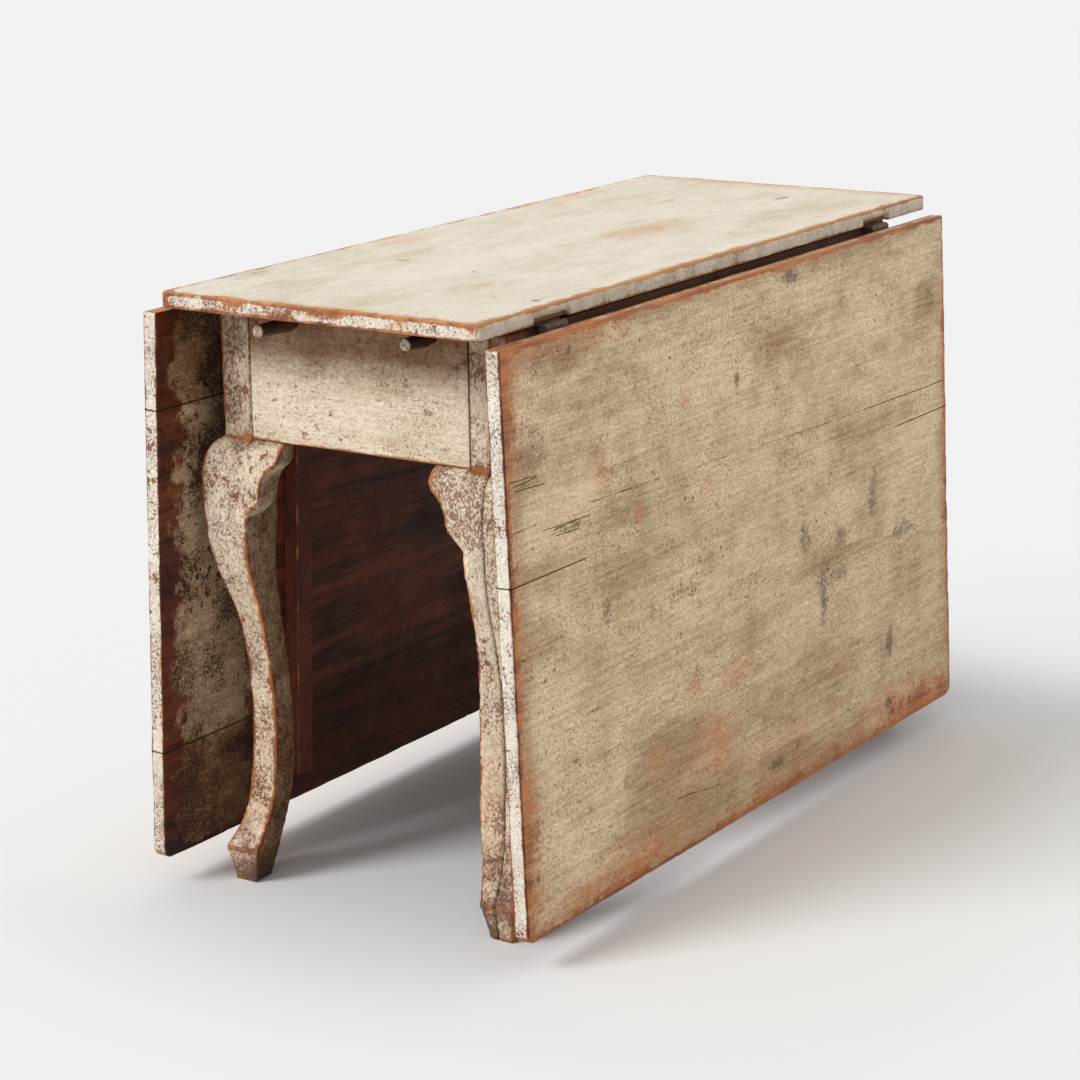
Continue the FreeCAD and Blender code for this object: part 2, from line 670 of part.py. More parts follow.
def gate_leg(label):
    """The far left leg's outer half, which swings out with the gate rail."""
    body = new_body(label)
    first_face(body, 1, GATE_HEAD, GATE_INNER, BLANK_OUTER)
    back = "(0 - post_size - saw_room)"
    plumb_back = [[(back, "0"), (back, APRON_FOOT)]]
    outline = leg_outline(GATE_CURVE, plumb_back, GATE_POST, back, "height", "-saw_room / 2")
    saw_side(body, 1, outline)
    side_mortise(body, 1, GATE_MIDDLE)
    pin_holes(body, "XZ_Plane", SIDE_PIN, GATE_OUTER, "2 * (gate_pin_length + pin_hole_spare)")
    return body


# scrolled ears glued beside the knees

def ear_outline(face, way):
    """The ear's scroll below the apron; it starts at face, on the leg, and runs inwards by way."""
    def point(across, down):
        return f"{face} + ({way}) * ear_width * {across}", f"{APRON_FOOT} - ear_height * {down}"
    scroll = [point(1, 0), point(1.06, 0.24), point(0.75, 0.32), point(0.48, 0.5), point(0.45, 0.69)]
    lobe = [point(0.45, 0.69), point(0.43, 0.83), point(0.25, 0.87), point(0, 1)]
    above = f"{APRON_FOOT} + saw_room / 2"
    outer_top = (f"{face} + ({way}) * ear_width", above)
    return [[(face, above), outer_top], [outer_top, scroll[0]], scroll, lobe, [lobe[-1], (face, above)]]


def ear_section(curve, post, back):
    """The ear seen from its end: the knee's front, and a flat back."""
    ridge = curve[0][-1][1]
    return [[(back, APRON_FOOT), (post, APRON_FOOT)], curve[0], [curve[0][-1], (back, ridge)],
            [(back, ridge), (back, APRON_FOOT)]]


def ear(label, section_plane, section, outline_plane, face, way, level):
    """Pad the section along the apron, then saw the scroll."""
    body = new_body(label)
    pad(body, section_plane, "Section", [section], f"{face} + ({way}) * ear_width / 2", "2 * ear_width")
    across = [f"{face} - ({way}) * ear_width", f"{face} + ({way}) * 2 * ear_width"]
    if way < 0:
        across.reverse()
    saw_outline(body, outline_plane, "Scroll", ear_outline(face, way), across, level, "height")
    return body


def end_ear(label, end, side):
    """Under the end apron, beside the leg on one side."""
    loop = place_loop(ear_section(WHOLE_CURVE, "0", "-ear_thickness"), FRAME_END, end)
    face = f"({side}) * {POST_SIDE}"
    return ear(label, "XZ_Plane", loop, "YZ_Plane", face, -side, f"({end}) * {FRAME_END}")


def side_ear(label, end, curve, post, back):
    """Under the rail on the left side, beside the leg at one end."""
    loop = place_loop(ear_section(curve, post, back), FRAME_SIDE, 1)
    face = f"({end}) * {POST_END}"
    return ear(label, "YZ_Plane", loop, "XZ_Plane", face, -end, FRAME_SIDE)


# aprons, gate rails and their knuckle joints

def end_apron(label):
    """The near end apron, tenoned into both near legs, with two holes for the top's pegs."""
    body = new_body(label)
    outline = rectangle(f"-{FRAME_END}", f"-({FRAME_END} - apron_thickness)", f"-{POST_SIDE}", POST_SIDE)
    pad(body, "XY_Plane", "Board", [outline], APRON_MIDDLE, "apron_height")
    reach = f"({POST_SIDE} + tenon_length)"
    tenons = rectangle(f"-({END_TENON} + tenon_thickness / 2)", f"-({END_TENON} - tenon_thickness / 2)",
                       f"-{reach}", reach)
    pad(body, "XY_Plane", "Tenons", [tenons], APRON_MIDDLE, TENON_HEIGHT)
    pin_holes(body, "YZ_Plane", END_PIN, f"-{FRAME_END}", "4 * apron_thickness")
    pin_holes(body, "YZ_Plane", f"-{END_PIN}", f"-{FRAME_END}", "4 * apron_thickness")
    peg_holes(body)
    return body


def side_apron(label):
    """The left side apron, tenoned into the whole leg and the fixed half leg."""
    body = new_body(label)
    outline = rectangle(f"-{POST_END}", POST_END, f"{SPLIT} - apron_thickness", SPLIT)
    pad(body, "XY_Plane", "Board", [outline], APRON_MIDDLE, "apron_height")
    reach = f"({POST_END} + tenon_length)"
    half = "tenon_thickness / 2"
    tenons = rectangle(f"-{reach}", reach, f"{SIDE_TENON} - {half}", f"{SIDE_TENON} + {half}")
    pad(body, "XY_Plane", "Tenons", [tenons], APRON_MIDDLE, TENON_HEIGHT)
    pin_holes(body, "XZ_Plane", SIDE_PIN, SIDE_TENON, "4 * apron_thickness")
    pin_holes(body, "XZ_Plane", f"-{SIDE_PIN}", SIDE_TENON, "4 * apron_thickness")
    return body


def knuckle_slots(body, fingers):
    """Slots between the fingers of a knuckle joint, one for each of the other rail's fingers."""
    slots = []
    half = "(gate_thickness / 2 + knuckle_clearance)"
    for finger in fingers:
        low = f"{APRON_FOOT} + {FINGER} * {finger} - knuckle_clearance"
        high = f"{APRON_FOOT} + {FINGER} * {finger + 1} + knuckle_clearance"
        slots.append(rectangle(f"knuckle_place - {half}", f"knuckle_place + {half}", low, high))
    cut(body, "XZ_Plane", "Slots", slots, GATE_MIDDLE, "4 * gate_thickness")
    bore = [circle(("knuckle_place", GATE_MIDDLE), "knuckle_pin_radius + pin_clearance")]
    cut(body, "XY_Plane", "Bore", bore, APRON_MIDDLE, "2 * apron_height")


def knuckle_end(body):
    """The round end of a rail about its pin."""
    ring = [circle(("knuckle_place", GATE_MIDDLE), "gate_thickness / 2")]
    pad(body, "XY_Plane", "RoundEnd", ring, f"({APRON_FOOT} + {GATE_HEAD}) / 2", GATE_HEIGHT)


def gate_rail(label):
    """The swinging rail on the left side, tenoned into the gate leg."""
    body = new_body(label)
    middle = f"({APRON_FOOT} + {GATE_HEAD}) / 2"
    outline = rectangle("knuckle_place", POST_END, GATE_INNER, GATE_OUTER)
    pad(body, "XY_Plane", "Rail", [outline], middle, GATE_HEIGHT)
    knuckle_end(body)
    half = "tenon_thickness / 2"
    ends = f"{POST_END} - tenon_length", f"{POST_END} + tenon_length"
    tenon = rectangle(*ends, f"{GATE_MIDDLE} - {half}", f"{GATE_MIDDLE} + {half}")
    pad(body, "XY_Plane", "Tenon", [tenon], APRON_MIDDLE, TENON_HEIGHT)
    knuckle_slots(body, (0, 2, 4))
    pin_holes(body, "XZ_Plane", SIDE_PIN, GATE_MIDDLE, "4 * gate_thickness")
    return body


def gate_mount(label):
    """The short fixed rail that carries the gate's pin, glued to the side apron."""
    body = new_body(label)
    middle = f"({APRON_FOOT} + {GATE_HEAD}) / 2"
    outline = rectangle(f"-{POST_END}", "knuckle_place", SPLIT, GATE_OUTER)
    pad(body, "XY_Plane", "Rail", [outline], middle, GATE_HEIGHT)
    knuckle_end(body)
    knuckle_slots(body, (1, 3))
    return body


# pegs and cleats between frame and top

def peg_holes(body):
    holes = [circle((across, PEG_HEIGHT), "peg_radius + pin_clearance") for across, reach in PEGS]
    cut(body, "YZ_Plane", "PegHoles", holes, f"-{FRAME_END}", "4 * (apron_thickness + cleat_thickness)")


def octagon(across, level, radius):
    points = []
    for corner in range(8):
        turn = (corner + 0.5) * EIGHTH_TURN
        points.append((f"{across} + {radius} * cos({turn})", f"{level} + {radius} * sin({turn})"))
    return polygon(points)


def top_peg(label, across, reach):
    """A whittled peg through the near apron into the cleat, thinner at its free end."""
    body = new_body(label)
    stations = ((f"-({CLEAT_BACK} - peg_tail)", "peg_radius"), (f"-{FRAME_END}", "peg_radius"),
                (f"-({FRAME_END} + {reach})", "peg_tip_radius"))
    sections = []
    for index, (x, radius) in enumerate(stations):
        sections.append(draw(body, "YZ_Plane", f"Section{index}", [octagon(across, PEG_HEIGHT, radius)], x))
    loft = body.newObject("PartDesign::AdditiveLoft", "Whittled")
    loft.Profile = sections[0]
    loft.Sections = sections[1:]
    loft.Ruled = True
    return body


def top_cleat(label):
    """A cleat nailed under the top, behind the near apron, that the pegs enter."""
    body = new_body(label)
    front = f"-({FRAME_END} - apron_thickness)"
    end = f"({POST_SIDE} - cleat_gap)"
    outline = rectangle(front, f"-{CLEAT_BACK}", f"-{end}", end)
    pad(body, "XY_Plane", "Board", [outline], f"{UNDERSIDE} - cleat_height / 2", "cleat_height")
    peg_holes(body)
    holes = [circle((f"-{CLEAT_MIDDLE}", across), NAIL_HOLE) for across in CLEAT_NAILS]
    cut(body, "XY_Plane", "NailHoles", holes, UNDERSIDE, "4 * cleat_height")
    return body


def cleat_nails(label):
    """Nails driven up through both cleats into the top."""
    solids = []
    for x in (number(f"-{CLEAT_MIDDLE}"), number(CLEAT_MIDDLE)):
        for across in CLEAT_NAILS:
            place = FreeCAD.Vector(x, number(across), number(f"{UNDERSIDE} - cleat_height"))
            solids.append(nail(place, FreeCAD.Vector(0, 0, 1), number("cleat_height + nail_bite")))
    group(label, solids)


def turn_round(piece):
    """Bring a piece to the other end of the table."""
    piece.Placement = HALF_TURN


def tenon_pins(label):
    """Pins of the apron joints, cut flush with the posts."""
    solids = []
    radius = number("tenon_pin_radius")
    levels = [number(f"{APRON_MIDDLE} {way} tenon_pin_spread / 2") for way in ("-", "+")]
    inward = FreeCAD.Vector(-1, 0, 0)
    across = FreeCAD.Vector(0, -1, 0)
    for turn in (0, 180):
        pins = []
        for level in levels:
            for end in (1, -1):
                start = FreeCAD.Vector(end * number(FRAME_END), number(END_PIN), level)
                pins.append(Part.makeCylinder(radius, number("end_pin_length"), start, inward * end))
            whole = FreeCAD.Vector(-number(SIDE_PIN), number(FRAME_SIDE), level)
            pins.append(Part.makeCylinder(radius, number("split_depth + side_pin_depth"), whole, across))
            half = FreeCAD.Vector(number(SIDE_PIN), number(SPLIT), level)
            pins.append(Part.makeCylinder(radius, number("side_pin_depth"), half, across))
            gate = FreeCAD.Vector(number(SIDE_PIN), number(GATE_OUTER), level)
            pins.append(Part.makeCylinder(radius, number("gate_pin_length"), gate, across))
        for pin in pins:
            pin.rotate(FreeCAD.Vector(), FreeCAD.Vector(0, 0, 1), turn)
        solids += pins
    group(label, solids)


# the table

top_board("top_wide_board", TOP_SEAM, "(0 - top_width / 2)", -1, True)
top_board("top_narrow_board", TOP_SEAM, "(top_width / 2)", 1, False)
leaf("left", 1, LEFT_SEAMS, ("upper", "middle", "lower"))
leaf("right", -1, RIGHT_SEAMS, ("upper", "lower"))
for side_name, side in (("left", 1), ("right", -1)):
    for end_name, x in zip(("near", "far"), HINGE_PLACES):
        hinge(f"{side_name}_{end_name}", side, x)
hinge_frame_nails("hinge_frame_nails")

whole_leg("near_left_leg")
turn_round(whole_leg("far_right_leg"))
fixed_half_leg("far_left_leg_fixed_half")
turn_round(fixed_half_leg("near_right_leg_fixed_half"))
gate_leg("left_gate_leg")
turn_round(gate_leg("right_gate_leg"))
end_apron("near_apron")
turn_round(end_apron("far_apron"))
side_apron("left_apron")
turn_round(side_apron("right_apron"))
gate_rail("left_gate_rail")
turn_round(gate_rail("right_gate_rail"))
gate_mount("left_gate_mount")
turn_round(gate_mount("right_gate_mount"))
KNUCKLE_BASE = ("knuckle_place", GATE_MIDDLE, APRON_FOOT)
plain_pin("left_gate_pin", "knuckle_pin_radius", GATE_HEIGHT, KNUCKLE_BASE)
OTHER_BASE = ("0 - knuckle_place", f"0 - {GATE_MIDDLE}", APRON_FOOT)
plain_pin("right_gate_pin", "knuckle_pin_radius", GATE_HEIGHT, OTHER_BASE)
end_ear("near_left_end_ear", -1, 1)
turn_round(end_ear("far_right_end_ear", -1, 1))
end_ear("near_right_end_ear", -1, -1)
turn_round(end_ear("far_left_end_ear", -1, -1))
side_ear("near_left_side_ear", -1, WHOLE_CURVE, "0", "-ear_thickness")
turn_round(side_ear("far_right_side_ear", -1, WHOLE_CURVE, "0", "-ear_thickness"))
side_ear("left_gate_ear", 1, GATE_CURVE, GATE_POST, GATE_BACK)
turn_round(side_ear("right_gate_ear", 1, GATE_CURVE, GATE_POST, GATE_BACK))
top_cleat("near_top_cleat")
turn_round(top_cleat("far_top_cleat"))
for word, (across, reach) in zip(("left", "right"), PEGS):
    top_peg(f"near_{word}_peg", across, reach)
for word, (across, reach) in zip(("right", "left"), PEGS):
    turn_round(top_peg(f"far_{word}_peg", across, reach))
cleat_nails("top_cleat_nails")
tenon_pins("tenon_pins")
doc.recompute()

# checking every piece, then writing it

for item in doc.Objects:
    if "Invalid" in item.State or "Error" in item.State:
        raise RuntimeError(f"{item.Label} ({item.Name}) failed: {item.State}")
    if item.TypeId == "PartDesign::Pocket":
        if item.Shape.Volume > item.BaseFeature.Shape.Volume - LEAST_CUT:
            raise RuntimeError(f"{item.Name} cuts nothing")
KINDS = ("PartDesign::Body", "Part::Feature", "Part::Cylinder")
pieces = [item for item in doc.Objects if item.TypeId in KINDS]
for piece in pieces:
    if piece.Shape.isNull() or not piece.Shape.isValid() or not piece.Shape.Solids:
        raise RuntimeError(f"{piece.Label} has no valid solid")
os.makedirs("parts", exist_ok=True)
for piece in pieces:
    piece.Shape.exportStep(f"parts/{piece.Label}.step")
print(len(pieces), "pieces")
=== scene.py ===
"""Looks of an old painted drop-leaf table, laid out as an add-on and run as a script."""

import functools
import json
import math

import bmesh
import bpy
import numpy as np
from mathutils import Matrix, Vector, kdtree
from mathutils.bvhtree import BVHTree

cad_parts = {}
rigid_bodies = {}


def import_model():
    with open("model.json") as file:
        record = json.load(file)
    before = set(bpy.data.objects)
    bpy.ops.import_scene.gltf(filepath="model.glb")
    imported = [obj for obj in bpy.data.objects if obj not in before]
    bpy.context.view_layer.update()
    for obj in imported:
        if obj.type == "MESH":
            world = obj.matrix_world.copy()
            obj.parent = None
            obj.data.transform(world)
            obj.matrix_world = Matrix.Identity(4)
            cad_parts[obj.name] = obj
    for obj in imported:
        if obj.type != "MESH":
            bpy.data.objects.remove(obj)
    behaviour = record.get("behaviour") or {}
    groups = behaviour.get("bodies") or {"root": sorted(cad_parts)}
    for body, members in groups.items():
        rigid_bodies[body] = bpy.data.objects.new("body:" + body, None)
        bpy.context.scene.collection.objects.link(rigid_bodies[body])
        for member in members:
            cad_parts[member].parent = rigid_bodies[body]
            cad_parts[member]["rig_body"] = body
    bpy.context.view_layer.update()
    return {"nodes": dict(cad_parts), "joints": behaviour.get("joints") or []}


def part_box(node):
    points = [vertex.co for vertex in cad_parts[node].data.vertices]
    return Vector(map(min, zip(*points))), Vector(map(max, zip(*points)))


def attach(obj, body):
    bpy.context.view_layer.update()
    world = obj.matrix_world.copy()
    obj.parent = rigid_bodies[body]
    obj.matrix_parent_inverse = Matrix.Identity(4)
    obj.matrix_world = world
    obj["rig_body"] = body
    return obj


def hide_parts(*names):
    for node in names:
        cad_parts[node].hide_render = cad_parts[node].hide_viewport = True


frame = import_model()

bl_info = {
    "name": "Painted drop-leaf table",
    "version": (1, 0, 0),
    "blender": (4, 5, 0),
    "location": "3D View > Sidebar > Table",
    "description": "Worn painted boards, carved legs, whittled pegs and iron hinges of a drop-leaf table",
    "category": "Object",
}

MM = 0.001

# Places on the table that the wear follows
HALF_LENGTH = 542 * MM
SAWN_END = 540.6 * MM
POST_INSIDE_X = 421 * MM
POST_INSIDE_Y = 154 * MM
TOP_UNDERSIDE = 720 * MM
LEAF_FACE = 25.5 * MM
HINGE_X = 395 * MM
NOTCH = (75 * MM, 10 * MM, 9 * MM)

# Distances below which solids touch and points are one
TOUCH = 1.5 * MM
WELD = 0.005 * MM


# Settings that a user would change

def colour_setting(name, description, default):
    """A colour with its name, description and default."""
    return bpy.props.FloatVectorProperty(
        name=name, description=description, default=default, subtype="COLOR", size=3, min=0.0, max=1.0)


def length_setting(name, description, default):
    """A length in metres with its name, description and default."""
    return bpy.props.FloatProperty(
        name=name, description=description, default=default, subtype="DISTANCE", unit="LENGTH", min=0.0)


class TableFinish(bpy.types.PropertyGroup):
    """Colours of the paint, the wood under it and the iron."""
    top_paint: colour_setting("Top paint", "Pale cream paint on the fixed top", (0.885, 0.835, 0.725))
    top_shade: colour_setting("Top shade", "Darker streaks in the top's paint", (0.66, 0.56, 0.42))
    leaf_paint: colour_setting("Leaf paint", "Cream paint on the leaves", (0.93, 0.73, 0.485))
    leaf_shade: colour_setting("Leaf shade", "Khaki streaks in the leaf paint", (0.41, 0.265, 0.138))
    frame_paint: colour_setting("Frame paint", "Cream paint on the legs and aprons", (0.88, 0.77, 0.61))
    frame_shade: colour_setting("Frame shade", "Darker tone of the frame's paint", (0.58, 0.43, 0.275))
    end_paint: colour_setting("End paint", "Chalky paint on the ends of the boards", (0.92, 0.88, 0.79))
    end_shade: colour_setting("End shade", "Darker tone of the end paint", (0.66, 0.56, 0.44))
    top_wood: colour_setting("Top wood", "Pale orange wood at the top's worn edges", (0.68, 0.34, 0.13))
    top_wood_dark: colour_setting("Top wood dark", "Grain of the top's worn wood", (0.36, 0.14, 0.055))
    worn_wood: colour_setting("Worn wood", "Orange wood where an edge is rubbed bare", (0.64, 0.235, 0.078))
    worn_wood_dark: colour_setting("Worn wood dark", "Dark grain of the worn wood", (0.185, 0.062, 0.028))
    inside_wood: colour_setting("Inside wood", "Bare red-brown wood inside the leaves", (0.35, 0.1, 0.044))
    inside_wood_dark: colour_setting("Inside wood dark", "Grain of the inside wood", (0.05, 0.017, 0.01))
    batten_wood: colour_setting("Batten wood", "Red-brown wood of the battens", (0.252, 0.072, 0.03168))
    rail_wood: colour_setting("Rail wood", "Brown wood of the rails and cleats", (0.24, 0.105, 0.048))
    rail_wood_dark: colour_setting("Rail wood dark", "Grain of the rails and cleats", (0.075, 0.03, 0.015))
    peg_wood: colour_setting("Peg wood", "Brown wood of the pegs", (0.095, 0.042, 0.021))
    peg_wood_dark: colour_setting("Peg wood dark", "Grain of the pegs", (0.03325, 0.0147, 0.00735))
    peg_tip: colour_setting("Peg tip", "Pale cut end of a peg", (0.72, 0.60, 0.46))
    stain: colour_setting("Stain", "Grey-purple water stains", (0.155, 0.094, 0.070))
    # This colour also paints shade: it darkens the apron under the top, below the pegs and on the legs' inner
    # faces
    grime_and_shade: colour_setting("Grime", "Brown glaze of dirt over sheltered places", (0.33, 0.205, 0.110))
    iron: colour_setting("Iron", "Brown-grey hinge iron", (0.095, 0.070, 0.050))


class TableWear(bpy.types.PropertyGroup):
    """Sizes of the mesh and of the wear."""
    board_step: length_setting("Board step", "Distance between mesh lines on a board", 6.0 * MM)
    leg_voxel: length_setting("Leg voxel", "Mesh size of the carved legs", 2.6 * MM)
    peg_voxel: length_setting("Peg voxel", "Mesh size of the whittled pegs", 1.1 * MM)
    chip_depth: length_setting("Chip depth", "Deepest chip out of a board's edge", 3.2 * MM)
    hollow_depth: length_setting("Hollow depth", "Unevenness of a hand-planed board", 0.5 * MM)


class TableStage(bpy.types.PropertyGroup):
    """Light of the studio."""
    key_strength: bpy.props.FloatProperty(
        name="Key strength", description="Strength of the key light", default=1.7, min=0.0)
    fill_strength: bpy.props.FloatProperty(
        name="Fill strength", description="Strength of the soft light from all round", default=0.66, min=0.0)
    floor_colour: colour_setting("Floor colour", "Pale floor", (0.875, 0.875, 0.875))


# Smooth noise and marks worked out on points

LATTICE = 48
NOISE_TABLE = np.random.RandomState(11).uniform(-1.0, 1.0, (LATTICE, LATTICE, LATTICE))


def wander(points, size, seed=0):
    """Smooth noise from -1 to 1 that changes over a size in millimetres."""
    scaled = points / (size * MM) + seed * 7.31
    base = np.floor(scaled).astype(int)
    part = scaled - base
    part = part * part * (3.0 - 2.0 * part)
    total = np.zeros(len(points))
    for corner in np.ndindex(2, 2, 2):
        weight = np.ones(len(points))
        for axis in range(3):
            weight = weight * (part[:, axis] if corner[axis] else 1.0 - part[:, axis])
        place = (base + np.array(corner)) % LATTICE
        total += weight * NOISE_TABLE[place[:, 0], place[:, 1], place[:, 2]]
    return total


def patchy(points, size, seed=0):
    """Smooth noise from 0 to 1 that changes over a size in millimetres."""
    return 0.5 + 0.5 * wander(points, size, seed)


def smooth(value, low, high):
    """0 at low, 1 at high and a smooth change between, the other way up where low is the larger."""
    part = np.clip((value - low) / (high - low), 0.0, 1.0)
    return part * part * (3.0 - 2.0 * part)


def rise(value, low, high):
    """The same smooth change of a length, between two places in millimetres."""
    return smooth(value, low * MM, high * MM)


def beside(distance, width):
    """1 at no distance, falling away over a width in millimetres."""
    return np.exp(-(distance / (width * MM)) ** 2)


def blot(points, mark):
    """A soft oval, 1 in its middle: mark is its place, length, width and strength in millimetres."""
    x, y, long, wide, strength = mark
    across = ((points[:, 0] - x * MM) / (0.5 * long * MM)) ** 2
    down = ((points[:, 1] - y * MM) / (0.5 * wide * MM)) ** 2
    return strength * np.clip(1.0 - 0.5 * (across + down), 0.0, 1.0) ** 1.5


def blots(points, marks, join=np.maximum):
    """Several soft ovals: the strongest at each point, or their sum."""
    total = np.zeros(len(points))
    for mark in marks:
        total = join(total, blot(points, mark))
    return total


def cracks(points, lines):
    """Signed distance to the nearest crack, and where one is; lines are end points in millimetres."""
    nearest = np.full(len(points), 1.0)
    signed = np.full(len(points), 1.0)
    here = np.zeros(len(points))
    for x0, y0, x1, y1, strength in lines:
        run = np.array((x1 - x0, y1 - y0)) * MM
        length = np.hypot(*run)
        offset = points[:, :2] - np.array((x0, y0)) * MM
        along = offset @ run / length
        side = (offset[:, 1] * run[0] - offset[:, 0] * run[1]) / length
        beyond = np.maximum(np.maximum(-along, along - length), 0.0)
        away = np.hypot(side, beyond)
        closer = away < nearest
        nearest = np.where(closer, away, nearest)
        signed = np.where(closer, side, signed)
        here = np.where(closer, strength * rise(away, 16, 9) * rise(beyond, 10, 0), here)
    return signed, here


# Axes of the boards

class Axes:
    """A board's own directions: along the grain, across it and out of its face."""

    def __init__(self, origin, along, across, out):
        self.origin = np.array(origin, float)
        self.turn = np.array((along, across, out), float)
        self.mirrored = np.linalg.det(self.turn) < 0

    def inward(self, points):
        """Places in the table's frame, given along these axes."""
        return (points - self.origin) @ self.turn.T

    def outward(self, local):
        """Places along these axes, given in the table's frame."""
        return self.origin + local @ self.turn

    def node_box(self, node):
        """Lowest and highest corner of a CAD node along these axes."""
        local = self.inward(point_array(frame["nodes"][node].data))
        return local.min(0), local.max(0)


FLAT = Axes((0, 0, 0), (1, 0, 0), (0, 1, 0), (0, 0, 1))
END_APRON = Axes((0, 0, 0), (0, 1, 0), (0, 0, 1), (1, 0, 0))
SIDE_APRON = Axes((0, 0, 0), (1, 0, 0), (0, 0, -1), (0, 1, 0))
UPRIGHT = Axes((0, 0, 0), (0, 0, 1), (1, 0, 0), (0, 1, 0))


def leaf_axes(side):
    """Axes of a hanging leaf: along the table, down the leaf and out of its painted face."""
    joint = next(j for j in frame["joints"] if j["name"] == f"{side}_leaf_hinge")
    splay = math.radians(90.0 - joint["range_deg"][1])
    way = 1.0 if side == "left" else -1.0
    down = (0.0, way * math.sin(splay), -math.cos(splay))
    out = (0.0, way * math.cos(splay), math.sin(splay))
    return Axes(joint["pos_m"], (1.0, 0.0, 0.0), down, out)


# Meshes

def point_array(mesh, field="co"):
    """Places or normals of a mesh's points as an array."""
    values = np.zeros(len(mesh.vertices) * 3)
    mesh.vertices.foreach_get(field, values)
    return values.reshape(-1, 3)


def new_object(name, data):
    """A new object in the scene."""
    made = bpy.data.objects.new(name, data)
    bpy.context.scene.collection.objects.link(made)
    return made


def spaced(low, high, step):
    """Mesh lines from low to high, close together at both ends."""
    close = np.array((0.0, 0.5, 1.2, 2.2, 3.6, 5.5, 8.5, 12.5)) * MM
    close = close[close < 0.42 * (high - low)]
    inner_low = low + close[-1]
    inner_high = high - close[-1]
    count = max(2, int(round((inner_high - inner_low) / step)) + 1)
    middle = np.linspace(inner_low, inner_high, count)
    return np.concatenate((low + close[:-1], middle, (high - close[:-1])[::-1]))


def lattice_box(low, high, step):
    """Points and four-sided faces of a box with mesh lines on all six sides."""
    lines = [spaced(low[axis], high[axis], step) for axis in range(3)]
    skin = np.ones([len(line) for line in lines], bool)
    skin[1:-1, 1:-1, 1:-1] = False
    ids = np.full(skin.shape, -1)
    ids[skin] = np.arange(skin.sum())
    where = np.argwhere(skin)
    points = np.stack([lines[axis][where[:, axis]] for axis in range(3)], 1)
    faces = []
    for axis in range(3):
        for end in (0, -1):
            side = np.take(ids, end, axis=axis)
            quads = np.stack((side[:-1, :-1], side[1:, :-1], side[1:, 1:], side[:-1, 1:]), -1).reshape(-1, 4)
            turned = (axis == 1) == (end == -1)
            faces.append(quads[:, ::-1] if turned else quads)
    return points, np.concatenate(faces)


def board_distance(points, half, corner, rim):
    """Distance to a board with round corners in plan and rounded rims, below 0 inside."""
    plan = np.abs(points[:, :2]) - half[:2] + corner[:, None]
    plan = np.minimum(plan.max(1), 0.0) + np.linalg.norm(np.maximum(plan, 0.0), axis=1) - corner
    edge = np.stack((plan + rim, np.abs(points[:, 2]) - half[2] + rim), 1)
    return np.minimum(edge.max(1), 0.0) + np.linalg.norm(np.maximum(edge, 0.0), axis=1) - rim


def settle(points, half, corner, rim, sink):
    """Moves points onto the worn board's skin."""
    step = 1e-6
    for _ in range(5):
        distance = board_distance(points, half, corner, rim) + sink
        slope = np.zeros_like(points)
        for axis in range(3):
            moved = points.copy()
            moved[:, axis] += step
            slope[:, axis] = (board_distance(moved, half, corner, rim) + sink - distance) / step
        length = np.maximum((slope ** 2).sum(1), 0.25)
        points = points - (distance / length)[:, None] * slope
    return points


class Board:
    """A worn board in place of a CAD node; free tells which of its four sides in plan are no seams."""

    def __init__(self, node, axes, free, corners, rims, wear, seed, seam_open=0.0, reach=None):
        self.name = f"worn_{node}"
        self.axes = axes
        self.low, self.high = axes.node_box(node)
        if reach is not None:
            self.low[0] = -reach
            self.high[0] = reach
        self.free = np.array(free, bool)
        self.corners = np.array(corners, float) * MM
        self.rims = np.array(rims, float) * MM
        self.wear = wear
        self.seed = seed
        self.seam_open = seam_open

    def build(self, sizes):
        """Makes the mesh object, worn at its free edges and a little uneven."""
        points, faces = lattice_box(self.low, self.high, sizes.board_step)
        middle = 0.5 * (self.low + self.high)
        half = 0.5 * (self.high - self.low)
        local = points - middle
        x, y, z = local.T
        corner = self.corners[(x > 0).astype(int) + 2 * (y > 0).astype(int)]
        gaps = np.stack((x + half[0], half[0] - x, y + half[1], half[1] - y))

        # Rims: rounded and chipped where a side is free, almost sharp along a seam
        rim = np.where(z > 0, self.rims[0], self.rims[1])
        chips = np.clip(wander(points, 11, self.seed) - 0.35, 0.0, 1.0) * 1.6
        chips = chips + np.clip(wander(points, 38, self.seed + 1) - 0.4, 0.0, 1.0)
        rim = rim * (1.0 + 0.35 * wander(points, 24, self.seed + 2)) + self.wear * sizes.chip_depth * chips
        opened = 0.2 * MM + self.seam_open * MM * rise(half[0] - np.abs(x), 170, 60)
        rim = np.minimum(np.where(self.free[gaps.argmin(0)], rim, opened), 0.9 * half[2])

        # Long shallow hollows of the plane, none at a seam
        uneven = patchy(points * (0.35, 1.0, 1.0), 70, self.seed + 3)
        uneven = uneven + 0.5 * patchy(points * (0.3, 1.0, 1.0), 17, self.seed + 4)
        seam = np.where(self.free[:, None], 1.0, gaps).min(0)
        sink = sizes.hollow_depth * uneven * rise(seam, 0, 25)

        local = settle(local, half, corner, rim, sink)
        mesh = bpy.data.meshes.new(self.name)
        flipped = faces[:, ::-1] if self.axes.mirrored else faces
        mesh.from_pydata(self.axes.outward(local + middle).tolist(), [], flipped.tolist())
        mesh.validate()
        self.piece = new_object(self.name, mesh)
        return self.piece

    def local_points(self):
        """Places of the finished mesh along the board's axes."""
        return self.axes.inward(point_array(self.piece.data))

    def edges(self, local):
        """Distance from each point to the nearest free arris."""
        x, y, z = local.T
        gaps = np.stack((x - self.low[0], self.high[0] - x, y - self.low[1], self.high[1] - y))
        plan = np.where(self.free[:, None], gaps, 1.0).min(0)
        face = np.minimum(z - self.low[2], self.high[2] - z)
        return np.hypot(np.maximum(plan, 0.0), np.maximum(face, 0.0))


